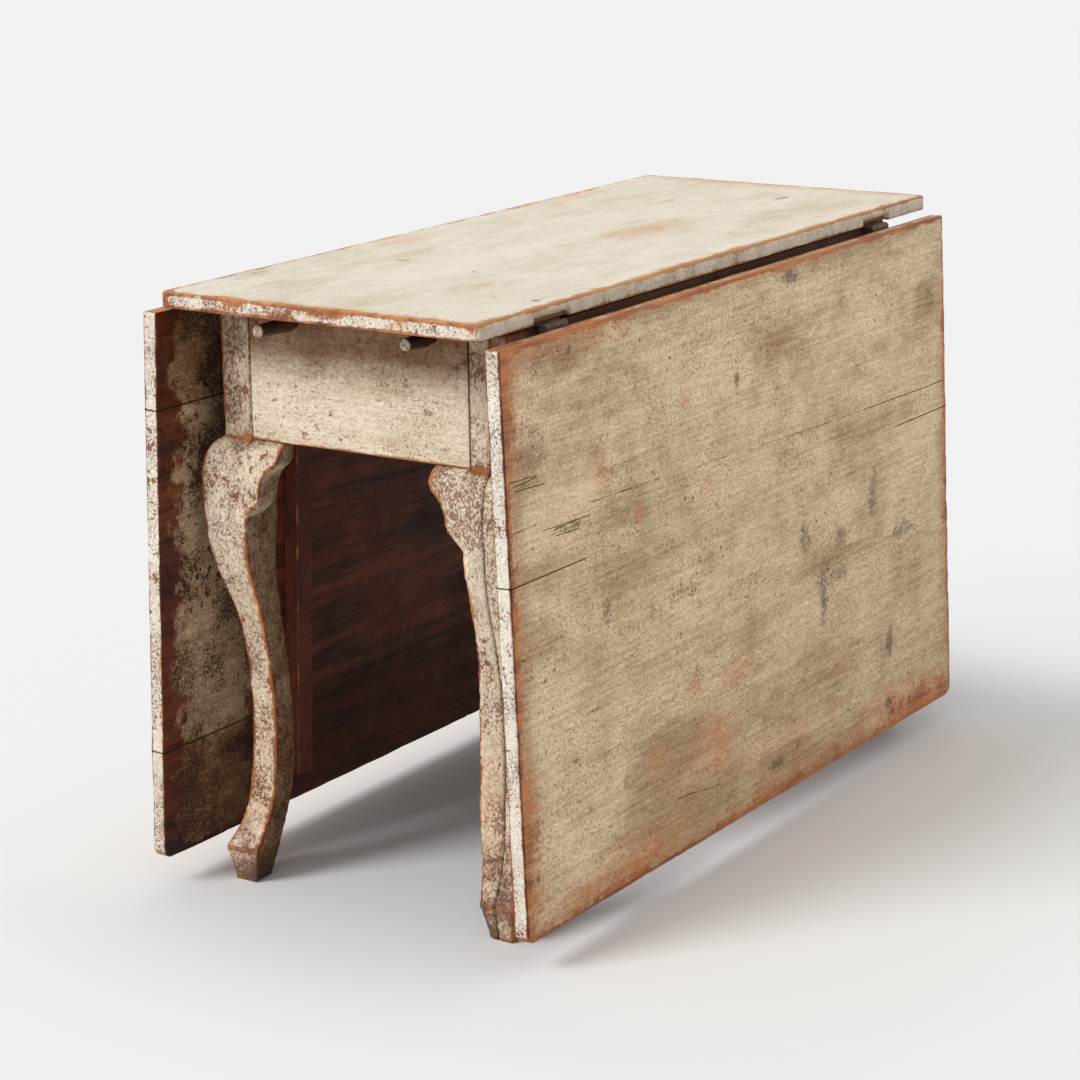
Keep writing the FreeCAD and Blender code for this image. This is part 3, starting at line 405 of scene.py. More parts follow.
def store(piece, **layers):
    """Keeps arrays on the mesh's points for the materials; a mark that isn't given is nowhere."""
    count = len(piece.data.vertices)
    empty = {name: np.zeros(count) for name in ("bare", "stain", "warm", "dirt", "tone", "cracked")}
    for name, values in {**empty, "crack": np.ones(count), **layers}.items():
        kind, field = ("FLOAT_VECTOR", "vector") if values.ndim == 2 else ("FLOAT", "value")
        layer = piece.data.attributes.get(name) or piece.data.attributes.new(name, kind, "POINT")
        layer.data.foreach_set(field, values.astype(np.float32).ravel())


def face_middles(mesh, values):
    """Mean of a point array over each face."""
    loops = np.zeros(len(mesh.loops), int)
    mesh.loops.foreach_get("vertex_index", loops)
    starts = np.zeros(len(mesh.polygons), int)
    mesh.polygons.foreach_get("loop_start", starts)
    totals = np.zeros(len(mesh.polygons), int)
    mesh.polygons.foreach_get("loop_total", totals)
    return np.add.reduceat(values[loops], starts) / totals


def finish_piece(piece, body, nodes, materials, pick=None):
    """Gives a piece its materials and smooth shading, and puts it in the table's frame."""
    for material in materials:
        piece.data.materials.append(material)
    if pick is not None:
        piece.data.polygons.foreach_set("material_index", pick.astype(np.int32))
    piece.data.polygons.foreach_set("use_smooth", np.ones(len(piece.data.polygons), bool))
    piece.data.update()
    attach(piece, body)
    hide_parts(*nodes)


def apply_modifiers(piece):
    """Bakes a piece's modifiers into its mesh."""
    bpy.context.view_layer.update()
    made = piece.evaluated_get(bpy.context.evaluated_depsgraph_get())
    mesh = bpy.data.meshes.new_from_object(made)
    mesh.name = piece.name
    piece.modifiers.clear()
    piece.data = mesh


def cut_boxes(piece, boxes):
    """Cuts boxes, given by their lowest and highest corners, out of a piece."""
    for low, high in boxes:
        mesh = bpy.data.meshes.new("cutter")
        form = bmesh.new()
        bmesh.ops.create_cube(form, size=1.0)
        bmesh.ops.scale(form, vec=Vector(high) - Vector(low), verts=form.verts)
        bmesh.ops.translate(form, vec=(Vector(high) + Vector(low)) * 0.5, verts=form.verts)
        form.to_mesh(mesh)
        form.free()
        cutter = new_object("cutter", mesh)
        modifier = piece.modifiers.new("notch", "BOOLEAN")
        modifier.operation = "DIFFERENCE"
        modifier.solver = "EXACT"
        modifier.object = cutter
        apply_modifiers(piece)
        bpy.data.objects.remove(cutter)


# Carved forms: legs, ears and pegs

def spot_distances(points, spots):
    """Distance from each point to the nearest of some spots, far where there are none."""
    spots = spots or [Vector((9.0, 9.0, 9.0))]
    tree = kdtree.KDTree(len(spots))
    for index, spot in enumerate(spots):
        tree.insert(spot, index)
    tree.balance()
    return np.array([tree.find(Vector(point))[2] for point in points])


@functools.cache
def solid_tree(node):
    """Nearest-surface tree of a CAD node."""
    mesh = frame["nodes"][node].data
    corners = [vertex.co for vertex in mesh.vertices]
    return BVHTree.FromPolygons(corners, [tuple(face.vertices) for face in mesh.polygons])


@functools.cache
def wooden_solids():
    """Names and boxes of the wooden solids of the frame."""
    endings = ("leg", "half", "ear", "apron", "rail", "board")
    nodes = [node for node in frame["nodes"] if node.endswith(endings)]
    return [(node, *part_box(node)) for node in nodes if frame["nodes"][node]["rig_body"] == "frame"]


def meets_other(spot, node):
    """True where a spot on one wooden solid touches another."""
    for other, low, high in wooden_solids():
        if other == node or min(spot - low) < -TOUCH or min(high - spot) < -TOUCH:
            continue
        if solid_tree(other).find_nearest(spot, TOUCH)[0] is not None:
            return True
    return False


def arrises(form, node):
    """Spots along the free sharp arrises of a welded solid, and along those at a joint."""
    free, joined = [], []
    pins = solid_tree("tenon_pins")
    for edge in form.edges:
        if len(edge.link_faces) != 2 or edge.calc_face_angle(0.0) < math.radians(38):
            continue
        start, end = edge.verts[0].co, edge.verts[1].co
        count = max(2, int((end - start).length / (2.5 * MM)))
        for index in range(count + 1):
            spot = start.lerp(end, index / count)
            # A pin's hole is full and so has no worn rim
            if pins.find_nearest(spot, TOUCH)[0] is not None:
                continue
            if meets_other(spot, node):
                joined.append(spot)
            else:
                free.append(spot)
    return free, joined


def pour(form, whole):
    """Adds one form to another and frees it."""
    part = bpy.data.meshes.new("part")
    form.to_mesh(part)
    form.free()
    whole.from_mesh(part)
    bpy.data.meshes.remove(part)


def add_plugs(whole, node):
    """Adds to a form those small solids of a node that sit in its holes, so that the holes are full."""
    places = np.array([vertex.co for vertex in whole.verts])
    low, high = places.min(0) - TOUCH, places.max(0) + TOUCH
    plugs = bmesh.new()
    plugs.from_mesh(frame["nodes"][node].data)
    outside = []
    for face in plugs.faces:
        middle = np.array(face.calc_center_median())
        if (middle < low).any() or (middle > high).any():
            outside.append(face)
    bmesh.ops.delete(plugs, geom=outside, context="FACES")
    bmesh.ops.remove_doubles(plugs, verts=plugs.verts, dist=WELD)
    pour(plugs, whole)


def carve(nodes, voxel, seed, smoothing=3, erosion=1.1, plugs=None):
    """A denser copy of CAD solids, worn at its arrises; gives it, its points and their distances
    from a free arris and from a joint."""
    whole = bmesh.new()
    free, joined = [], []
    for node in nodes:
        form = bmesh.new()
        form.from_mesh(frame["nodes"][node].data)
        bmesh.ops.remove_doubles(form, verts=form.verts, dist=WELD)
        node_free, node_joined = arrises(form, node)
        free += node_free
        joined += node_joined
        pour(form, whole)
    if plugs:
        add_plugs(whole, plugs)
    name = f"worn_{nodes[0]}"
    mesh = bpy.data.meshes.new(name)
    whole.to_mesh(mesh)
    whole.free()
    piece = new_object(name, mesh)
    low, high = point_array(mesh).min(0), point_array(mesh).max(0)
    remesh = piece.modifiers.new("remesh", "REMESH")
    remesh.mode = "VOXEL"
    remesh.voxel_size = voxel
    relax = piece.modifiers.new("relax", "SMOOTH")
    relax.factor = 0.5
    relax.iterations = smoothing
    apply_modifiers(piece)
    points = point_array(piece.data)
    edges = spot_distances(points, free)
    joints = spot_distances(points, joined)
    rough = patchy(points, 20, seed)
    fine = patchy(points, 7, seed + 1)
    depth = erosion * MM * beside(edges, 5) * np.clip(rough * 1.3 - 0.3 + 0.4 * fine, 0.0, 1.2)
    depth = depth + 0.35 * MM * patchy(points, 34, seed + 2) + 0.15 * MM * fine
    normals = point_array(piece.data, "normal")
    points = np.clip(points - normals * depth[:, None], low, high)
    move_points(piece, points)
    return piece, points, edges, joints


def move_points(piece, points):
    """Puts a piece's points in new places."""
    piece.data.vertices.foreach_set("co", points.ravel())
    piece.data.update()


# Node wiring

class Signal:
    """A node's output, which is added, subtracted and multiplied as a number is."""

    def __init__(self, wiring, socket):
        self.wiring = wiring
        self.socket = socket

    def __add__(self, other):
        return self.wiring.math("ADD", self, other)

    def __sub__(self, other):
        return self.wiring.math("SUBTRACT", self, other)

    def __rsub__(self, other):
        return self.wiring.math("SUBTRACT", other, self)

    def __mul__(self, other):
        return self.wiring.math("MULTIPLY", self, other)


class Wiring:
    """Adds nodes to one node tree and joins them."""

    def __init__(self, tree):
        self.tree = tree

    def node(self, kind, **fields):
        """A new node with some of its fields set."""
        made = self.tree.nodes.new(kind)
        for field, value in fields.items():
            setattr(made, field, value)
        return made

    def feed(self, socket, value):
        """Links a signal or a shader to an input, or sets it to a number or a colour."""
        if isinstance(value, Signal):
            value = value.socket
        if isinstance(value, bpy.types.NodeSocket):
            self.tree.links.new(value, socket)
        elif socket.type == "RGBA" and len(value) == 3:
            socket.default_value = (*value, 1.0)
        else:
            socket.default_value = value

    def fill(self, node, values):
        """Feeds a node's inputs by their names or numbers."""
        for label, value in values.items():
            self.feed(node.inputs[label], value)

    def output(self, kind, label, **fields):
        """One output of a new node."""
        return Signal(self, self.node(kind, **fields).outputs[label])

    def group(self, tree, values):
        """All outputs of a node group that is placed with these inputs."""
        made = self.node("ShaderNodeGroup", node_tree=tree)
        self.fill(made, values)
        return {socket.name: Signal(self, socket) for socket in made.outputs}

    def math(self, operation, first, second=0.0):
        """A math node's result."""
        made = self.node("ShaderNodeMath", operation=operation)
        self.fill(made, {0: first, 1: second})
        return Signal(self, made.outputs[0])

    def vector(self, operation, first, second=(0.0, 0.0, 0.0)):
        """A vector math node's result."""
        made = self.node("ShaderNodeVectorMath", operation=operation)
        self.fill(made, {0: first, 1: second})
        return Signal(self, made.outputs["Value" if operation == "LENGTH" else "Vector"])

    def mix(self, factor, first, second, kind="MIX"):
        """A blend of two colours."""
        made = self.node("ShaderNodeMix", data_type="RGBA", blend_type=kind, clamp_factor=True)
        self.fill(made, {0: factor, 6: first, 7: second})
        return Signal(self, made.outputs[2])

    def ramp(self, value, low, high, start=0.0, stop=1.0):
        """A smooth change from start to stop while the value goes from low to high."""
        made = self.node("ShaderNodeMapRange", interpolation_type="SMOOTHSTEP", clamp=True)
        self.fill(made, {0: value, 1: low, 2: high, 3: start, 4: stop})
        return Signal(self, made.outputs[0])

    def noise(self, place, scale, detail=3.0, rough=0.55, twist=0.0):
        """A noise texture's value."""
        made = self.node("ShaderNodeTexNoise")
        self.fill(made, {
            "Vector": place, "Scale": scale, "Detail": detail, "Roughness": rough, "Distortion": twist})
        return Signal(self, made.outputs[0])

    def drawn(self, place, along, across, detail, rough, twist=0.0):
        """Noise with one scale along the grain and another across it."""
        return self.noise(self.vector("MULTIPLY", place, (along, across, across)), 1.0, detail, rough, twist)

    def centred(self, place, scale, amount, detail=3.0, rough=0.55):
        """Noise round 0 that reaches about plus and minus the amount."""
        return (self.noise(place, scale, detail, rough) - 0.5) * (NOISE_SPREAD * amount)


NOISE_SPREAD = 2.6
GAP_DARK = (0.012, 0.008, 0.005)
MARKS = ("Edge", "Bare", "Stain", "Warm", "Dirt", "Tone", "Crack", "Cracked")
COAT_COLOURS = ("Paint", "Shade", "Wood light", "Wood dark")
COAT_NUMBERS = ("Flecks", "Edge width", "Rub", "Chips", "Grit")


def new_group(name, inputs, outputs):
    """An empty node group with its inputs and outputs, named by their kind."""
    group = bpy.data.node_groups.new(name, "ShaderNodeTree")
    kinds = {"value": "NodeSocketFloat", "vector": "NodeSocketVector", "colour": "NodeSocketColor"}
    for way, sockets in (("INPUT", inputs), ("OUTPUT", outputs)):
        for kind, labels in sockets.items():
            for label in labels:
                group.interface.new_socket(name=label, in_out=way, socket_type=kinds[kind])
    wiring = Wiring(group)
    source = {socket.name: Signal(wiring, socket) for socket in wiring.node("NodeGroupInput").outputs}
    return wiring, source, wiring.node("NodeGroupOutput")


def wood_grain_group():
    """Long grain and fine pores of a plain board."""
    if "Wood grain" in bpy.data.node_groups:
        return bpy.data.node_groups["Wood grain"]
    wiring, source, target = new_group(
        "Wood grain", {"vector": ("Place",), "colour": ("Light", "Dark")},
        {"colour": ("Color",), "value": ("Height",)})
    place = source["Place"]
    figure = wiring.drawn(place, 2.2, 42.0, 5.0, 0.6, 0.5)
    pores = wiring.drawn(place, 16.0, 480.0, 2.0, 0.6)
    tone = figure * 0.75 + pores * 0.35 + wiring.noise(place, 7.0, 3.0) * 0.4
    wiring.fill(target, {
        "Color": wiring.mix(wiring.ramp(tone, 0.56, 0.92), source["Dark"], source["Light"]),
        "Height": figure * 0.4 + pores * 0.6})
    return wiring.tree


def old_paint_group():
    """Paint that is streaked, flecked, stained, cracked and rubbed through to the wood at its edges."""
    if "Old paint" in bpy.data.node_groups:
        return bpy.data.node_groups["Old paint"]
    wiring, source, target = new_group(
        "Old paint",
        {"vector": ("Place",), "value": MARKS + COAT_NUMBERS,
         "colour": COAT_COLOURS + ("Stain colour", "Grime")},
        {"colour": ("Color",), "value": ("Roughness", "Height")})
    place = source["Place"]
    grain = wiring.group(wood_grain_group(), {
        "Place": place, "Light": source["Wood light"], "Dark": source["Wood dark"]})

    # The coat itself: clouds drawn out along the grain, streaks and fine grit
    marked = source["Tone"] * 0.38
    broad = wiring.ramp(wiring.drawn(place, 5.0, 11.0, 9.0, 0.74) + marked, 0.40, 0.68)
    cloud = wiring.ramp(wiring.drawn(place, 20.0, 42.0, 7.0, 0.76) + marked, 0.41, 0.66)
    streak = wiring.ramp(wiring.drawn(place, 9.0, 230.0, 6.0, 0.74), 0.40, 0.62)
    tone = broad * 0.40 + cloud * 0.26 + streak * 0.31 + 0.02
    colour = wiring.mix(tone, source["Paint"], source["Shade"])
    mottle = wiring.drawn(place, 270.0, 380.0, 4.0, 0.72)
    gritty = wiring.ramp(mottle, 0.55, 0.41) * source["Grit"]
    colour = wiring.mix(gritty * 0.75, colour, source["Grime"], "MULTIPLY")

    # Where the paint is rubbed through: free arrises first, then the places marked bare
    rough = wiring.centred(place, 26.0, 1.0, 8.0, 0.74)
    fine = wiring.centred(place, 170.0, 0.8, 4.0, 0.68)
    dots = wiring.drawn(place, 260.0, 330.0, 5.0, 0.78)
    speckle = (dots - 0.5) * NOISE_SPREAD
    width = source["Edge width"] * (wiring.math("MAXIMUM", rough * 1.3, -0.8) + 1.0)
    edge = 1.0 - wiring.ramp(source["Edge"], 0.0, width)
    worn_base = source["Bare"] + edge + source["Rub"]
    worn = wiring.ramp(worn_base + rough * 0.45 + fine * 0.5, 0.44, 0.74)
    thin = worn_base * 0.75 + source["Warm"] + rough * 0.35 + fine * 0.25 + speckle * 0.35
    colour = wiring.mix(wiring.ramp(thin, 0.16, 0.95) * 0.72, colour, source["Wood light"])

    # Flecks of dirt in the coat and small chips through it, denser in some places than in others
    density = wiring.ramp(wiring.noise(place, 13.0, 4.0, 0.68), 0.36, 0.64) * source["Flecks"] * 0.13
    flecks = wiring.ramp(dots + density, 0.59, 0.65) * wiring.ramp(density, 0.0, 0.02, 0.0, 0.85)
    colour = wiring.mix(flecks, colour, source["Wood dark"])
    chance = wiring.ramp(wiring.noise(place, 9.0, 3.0, 0.6), 0.42, 0.62) * source["Chips"] * 0.10
    spots = wiring.ramp(wiring.noise(place, 95.0, 6.0, 0.72) + chance, 0.64, 0.675)
    chips = spots * wiring.ramp(chance, 0.0, 0.02)
    colour = wiring.mix(worn, colour, grain["Color"])
    colour = wiring.mix(chips, colour, wiring.mix(0.6, grain["Color"], source["Wood dark"]))
    worn = wiring.math("MAXIMUM", worn, chips)

    # Stains, grime, painted shade and cracks lie over paint and wood alike
    stain = source["Stain"] + rough * 0.75 + fine * 0.5 + speckle * 0.7
    stain = wiring.ramp(stain, 0.22, 0.86) * wiring.ramp(source["Stain"], 0.02, 0.22)
    colour = wiring.mix(stain * 0.80, colour, source["Stain colour"])
    # The dirt array holds real dirt and painted shade; both multiply the colour by the grime colour
    dirt = source["Dirt"] + rough * 0.40 + fine * 0.34
    dirt = wiring.ramp(dirt, 0.05, 1.15) * wiring.ramp(source["Dirt"], 0.02, 0.25)
    colour = wiring.mix(dirt, colour, source["Grime"], "MULTIPLY")
    colour = wiring.mix(wiring.ramp(source["Dirt"], 1.1, 1.7), colour, GAP_DARK)
    gap = wiring.math("ABSOLUTE", source["Crack"] + rough * 0.0018 + fine * 0.0006)
    broken = wiring.ramp(source["Cracked"] + wiring.centred(place, 45.0, 0.6), 0.3, 0.8)
    crack = wiring.ramp(gap, 0.0010, 0.0002) * (broken * wiring.ramp(source["Cracked"], 0.1, 0.5))
    colour = wiring.mix(crack, colour, wiring.mix(0.5, source["Wood dark"], GAP_DARK))

    kept = 1.0 - worn
    height = kept * 0.6 + mottle * kept * 0.35 - flecks * 0.3 + grain["Height"] * 0.3 - crack * 1.2
    wiring.fill(target, {
        "Color": colour,
        "Roughness": mottle * 0.16 - worn * 0.06 + flecks * 0.1 + 0.54,
        "Height": height})
    return wiring.tree


# Materials

LEAF_COLOURS = ("leaf_paint", "leaf_shade", "worn_wood", "worn_wood_dark")
FRAME_COLOURS = ("frame_paint", "frame_shade", "worn_wood", "worn_wood_dark")
END_COLOURS = ("end_paint", "end_shade", "worn_wood", "worn_wood_dark")

# Each painted finish: the names of its colours, then its flecks, edge width, rub, chips and grit
COATS = {
    "worn_top_paint": (
        ("top_paint", "top_shade", "top_wood", "top_wood_dark"), (0.10, 15 * MM, 0.0, 0.15, 0.22)),
    "worn_leaf_paint": (LEAF_COLOURS, (0.28, 9 * MM, 0.0, 0.22, 0.52)),
    "worn_apron_paint": (FRAME_COLOURS, (0.28, 5 * MM, 0.0, 0.32, 0.45)),
    "worn_leg_paint": (FRAME_COLOURS, (1.0, 8 * MM, 0.0, 0.8, 0.6)),
    "worn_top_end": (END_COLOURS, (0.78, 4 * MM, 0.0, 0.75, 0.42)),
    "worn_leaf_end": (END_COLOURS, (0.78, 4 * MM, 0.0, 0.75, 0.42)),
    "leaf_inside_wood": (
        ("leaf_paint", "leaf_shade", "inside_wood", "inside_wood_dark"), (1.1, 12 * MM, 0.0, 1.2, 0.7)),
    "red_batten_wood": (
        ("batten_wood", "inside_wood_dark", "worn_wood", "inside_wood_dark"),
        (0.5, 2.5 * MM, -0.1, 0.1, 0.5)),
    "whittled_peg_wood": (
        ("peg_tip", "peg_wood", "peg_wood", "peg_wood_dark"), (0.5, 0.1 * MM, -0.3, 0.0, 0.5)),
}
RUST = (0.066, 0.021, 0.006)
PIT_DARK = (0.020, 0.014, 0.011)


def new_material(name):
    """An empty material with its wiring, its shader and a bump node on it."""
    material = bpy.data.materials.new(name)
    material.use_nodes = True
    material.node_tree.nodes.clear()
    wiring = Wiring(material.node_tree)
    shader = wiring.node("ShaderNodeBsdfPrincipled")
    bump = wiring.node("ShaderNodeBump")
    wiring.fill(shader, {"Normal": bump.outputs[0]})
    wiring.fill(wiring.node("ShaderNodeOutputMaterial"), {"Surface": shader.outputs[0]})
    return material, wiring, shader, bump


def painted_material(name, finish):
    """Old paint over wood, driven by the arrays kept on the mesh."""
    if name in bpy.data.materials:
        return bpy.data.materials[name]
    material, wiring, shader, bump = new_material(name)
    colours, numbers = COATS[name]
    values = {"Stain colour": finish.stain, "Grime": finish.grime_and_shade}
    values["Place"] = wiring.output("ShaderNodeAttribute", "Vector", attribute_name="place")
    for label in MARKS:
        values[label] = wiring.output("ShaderNodeAttribute", "Fac", attribute_name=label.lower())
    for label, colour in zip(COAT_COLOURS, colours):
        values[label] = getattr(finish, colour)
    values.update(zip(COAT_NUMBERS, numbers))
    coat = wiring.group(old_paint_group(), values)
    wiring.fill(shader, {
        "Base Color": coat["Color"], "Roughness": coat["Roughness"], "Specular IOR Level": 0.3})
    wiring.fill(bump, {"Height": coat["Height"], "Distance": 0.6 * MM, "Strength": 0.9})
    return material


def painted_materials(finish, *names):
    """Several painted finishes."""
    return [painted_material(name, finish) for name in names]


def bare_wood_material(name, light, dark):
    """Unpainted wood on a CAD solid, with the grain along the table."""
    if name in bpy.data.materials:
        return bpy.data.materials[name]
    material, wiring, shader, bump = new_material(name)
    grain = wiring.group(wood_grain_group(), {
        "Place": wiring.output("ShaderNodeTexCoord", "Object"), "Light": light, "Dark": dark})
    wiring.fill(shader, {
        "Base Color": grain["Color"], "Roughness": wiring.ramp(grain["Height"], 0.2, 0.8, 0.54, 0.70)})
    wiring.fill(bump, {"Height": grain["Height"], "Distance": 0.5 * MM, "Strength": 0.6})
    return material


def iron_material(iron):
    """Old hinge iron, brown with rust and worn grey on its high spots."""
    if "hinge_iron" in bpy.data.materials:
        return bpy.data.materials["hinge_iron"]
    material, wiring, shader, bump = new_material("hinge_iron")
    place = wiring.output("ShaderNodeTexCoord", "Object")
    patches = wiring.noise(place, 70.0, 4.0, 0.65)
    pits = wiring.noise(place, 420.0, 3.0, 0.6)
    rusty = tuple(0.9 * value + part for value, part in zip(iron, RUST))
    colour = wiring.mix(wiring.ramp(patches, 0.42, 0.62), iron, rusty)
    colour = wiring.mix(wiring.ramp(pits, 0.55, 0.75, 0.0, 0.6), colour, PIT_DARK)
    wiring.fill(shader, {
        "Base Color": colour,
        "Roughness": wiring.ramp(pits, 0.3, 0.7, 0.45, 0.75),
        "Metallic": wiring.ramp(patches, 0.35, 0.65, 0.6, 0.15)})
    wiring.fill(bump, {"Height": pits + patches, "Distance": 0.4 * MM})
    return material


# The fixed top: its marks are ovals and lines in millimetres on its upper face

TOP_SCUFFS = (
    (-230, 96, 44, 30, 0.62), (110, -40, 180, 46, 0.46), (50, -25, 80, 36, 0.45), (-322, -86, 40, 18, 0.5),
    (160, -55, 60, 36, 0.46), (-60, 30, 30, 12, 0.5), (370, 88, 60, 26, 0.42))
TOP_STAINS = (
    (425, -63, 46, 16, 0.6), (-385, -195, 16, 12, 0.9), (-393, 199, 60, 16, 0.55), (-420, 190, 70, 18, 0.4),
    (330, 60, 40, 14, 0.35), (-60, 120, 50, 10, 0.3), (220, -130, 30, 9, 0.3))
TOP_WARMS = (
    (-100, 190, 130, 70, 0.6), (300, 200, 260, 56, 0.5), (540, 60, 90, 440, 0.7), (540, -150, 80, 220, 0.65),
    (250, -160, 440, 90, 0.3), (100, -45, 220, 100, 0.35), (-542, 0, 60, 480, 0.6), (0, -222, 1100, 30, 0.6),
    (-450, -40, 120, 60, 0.25), (-340, -80, 110, 50, 0.35))
TOP_TONES = (
    (-400, 200, 60, 40, 0.6), (-440, 130, 60, 40, 0.5), (-410, 100, 90, 40, 0.4), (-190, 120, 120, 26, 0.4),
    (-480, -30, 90, 60, 0.4), (100, -45, 220, 90, 0.4), (330, -130, 320, 60, 0.4), (400, -170, 120, 40, 0.5),
    (440, -30, 90, 40, 0.5), (-350, -85, 110, 50, 0.4), (330, 100, 160, 90, 0.3), (-150, 20, 500, 60, -0.3))
TOP_CRACKS = ((-542, 120, -490, 122, 0.5), (-542, 30, -515, 31, 0.5), (542, -60, 500, -59, 0.5))

# A top board's node, free sides, corner radii and seed
TOP_BOARDS = (
    ("top_wide_board", (1, 1, 1, 0), (9, 9, 1, 1), 3),
    ("top_narrow_board", (1, 1, 0, 1), (1, 1, 9, 9), 13))

# Distances from the middle of the top, in millimetres, over which its ends and its long sides begin
TOP_END = (539, 541.5)
TOP_SIDE = (219, 221.5)


class TABLE_OT_top_boards(bpy.types.Operator):
    """Make the two worn boards of the fixed top"""
    bl_idname = "table.top_boards"
    bl_label = "Top boards"

    def execute(self, context):
        coats = painted_materials(
            context.scene.table_finish, "worn_top_paint", "leaf_inside_wood", "worn_top_end")
        for node, free, corners, seed in TOP_BOARDS:
            board = Board(node, FLAT, free, corners, (4.0, 1.8), 0.8, seed, 0.5)
            piece = board.build(context.scene.table_wear)
            cut_boxes(piece, self.notches(board, node))
            local = board.local_points()
            x = np.abs(local[:, 0])
            height = local[:, 2] - TOP_UNDERSIDE
            upper = rise(height, 15, 19)
            end = rise(x, *TOP_END)
            side = rise(np.abs(local[:, 1]), *TOP_SIDE)
            rubbed = 0.22 * (1 - upper) * (1 + wander(local, 30, 5))
            rubbed = rubbed + 0.5 * np.clip(wander(local * (1.0, 1.0, 2.5), 36, 6), 0.0, 1.0)
            rubbed = rubbed + 0.75 * rise(height, 13, 18) + 0.42 * rise(height, 8, 2)
            bare = np.where(height < 1.2 * MM, 1.2, upper * blots(local, TOP_SCUFFS) + end * rubbed)
            signed, here = cracks(local, TOP_CRACKS)
            store(piece, place=local, bare=bare, crack=signed, cracked=here,
                  edge=board.edges(local) * (1.0 + 1.6 * side * (1.0 - upper)),
                  stain=upper * blots(local, TOP_STAINS), warm=upper * blots(local, TOP_WARMS),
                  dirt=0.45 * side * (1 - upper) + 0.25 * end * rise(height, 12, 2),
                  tone=0.7 * upper * blots(local, TOP_TONES, np.add))
            sawn = face_middles(piece.data, x) > SAWN_END
            under = face_middles(piece.data, height) < 1.0 * MM
            finish_piece(piece, "frame", (node,), coats, np.where(under, 1, 2 * sawn))
        return {"FINISHED"}

    def notches(self, board, node):
        """Boxes of the two hinge notches under this board's long edge."""
        outer = board.high[1] if node == "top_narrow_board" else board.low[1]
        inner = outer - math.copysign(NOTCH[1], outer)
        beyond = outer + math.copysign(NOTCH[1], outer)
        boxes = []
        for x in (-HINGE_X, HINGE_X):
            corner = (x - 0.5 * NOTCH[0], min(inner, beyond), TOP_UNDERSIDE - NOTCH[2])
            opposite = (x + 0.5 * NOTCH[0], max(inner, beyond), TOP_UNDERSIDE + NOTCH[2])
            boxes.append((corner, opposite))
        return boxes


# The leaves: marks lie along the table and down the leaf

RIGHT_STAINS = (
    (109, 20, 44, 24, 0.8), (72, 153, 34, 12, 0.6), (-34, 125, 13, 18, 1.0), (280, 162, 12, 18, 0.9),
    (497, 108, 30, 64, 0.45), (317, 344, 34, 72, 0.85), (127, 353, 32, 56, 0.8), (385, 410, 120, 26, 0.5),
    (172, 455, 24, 92, 0.8), (200, 425, 96, 28, 0.6), (188, 402, 44, 30, 0.5), (357, 558, 24, 48, 0.75),
    (348, 643, 26, 22, 0.7), (-43, 380, 120, 22, 0.4), (44, 636, 66, 16, 0.7), (-348, 338, 18, 40, 0.6),
    (-294, 349, 16, 36, 0.55), (-252, 360, 18, 40, 0.55), (-147, 459, 50, 16, 0.45), (-180, 359, 76, 44, 0.5),
    (-385, 445, 34, 5, 0.9), (-520, 396, 10, 8, 0.8), (-323, 548, 15, 20, 0.75), (-427, 493, 14, 10, 0.8),
    (-449, 30, 100, 40, 0.4), (-404, 22, 10, 16, 0.9), (-504, 156, 70, 7, 0.7), (-419, 223, 80, 7, 0.7),
    (-480, 120, 150, 90, 0.36), (221, 377, 70, 30, 0.5), (260, 240, 120, 30, 0.33), (-350, 173, 30, 50, 0.35))
RIGHT_WARMS = (
    (-58, 490, 120, 50, 0.5), (-160, 486, 70, 50, 0.5), (-115, 565, 140, 120, 0.62),
    (-215, 575, 200, 110, 0.36), (221, 556, 90, 50, 0.45), (-259, 543, 70, 60, 0.5),
    (-352, 173, 60, 70, 0.55), (-270, 238, 18, 30, 0.9), (-159, 124, 40, 30, 0.6), (-108, 240, 60, 45, 0.5),
    (76, 91, 80, 45, 0.4), (221, 377, 70, 30, 0.4), (60, 610, 500, 70, 0.45), (-300, 640, 400, 70, 0.5),
    (320, 630, 300, 60, 0.4), (-360, 300, 240, 160, 0.28), (420, 330, 200, 120, 0.25),
    (-380, 20, 330, 50, 0.45), (0, 10, 700, 26, 0.35))
WORN_RIMS = (
    (-515, -8, 140, 58, 0.8), (-350, 696, 480, 92, 0.85), (100, 698, 680, 100, 0.9))
RIGHT_BARE = WORN_RIMS + (
    (-556, 60, 98, 330, 0.95), (-556, 320, 82, 330, 0.85), (-556, 570, 100, 360, 0.9),
    (440, 696, 330, 134, 0.95), (558, 350, 80, 800, 0.85), (-250, -8, 700, 30, 0.5), (300, -8, 600, 28, 0.55))
PALE_CHIPS = ((180, 668, 20, 9, 1.2), (-270, 669, 16, 8, 1.2))
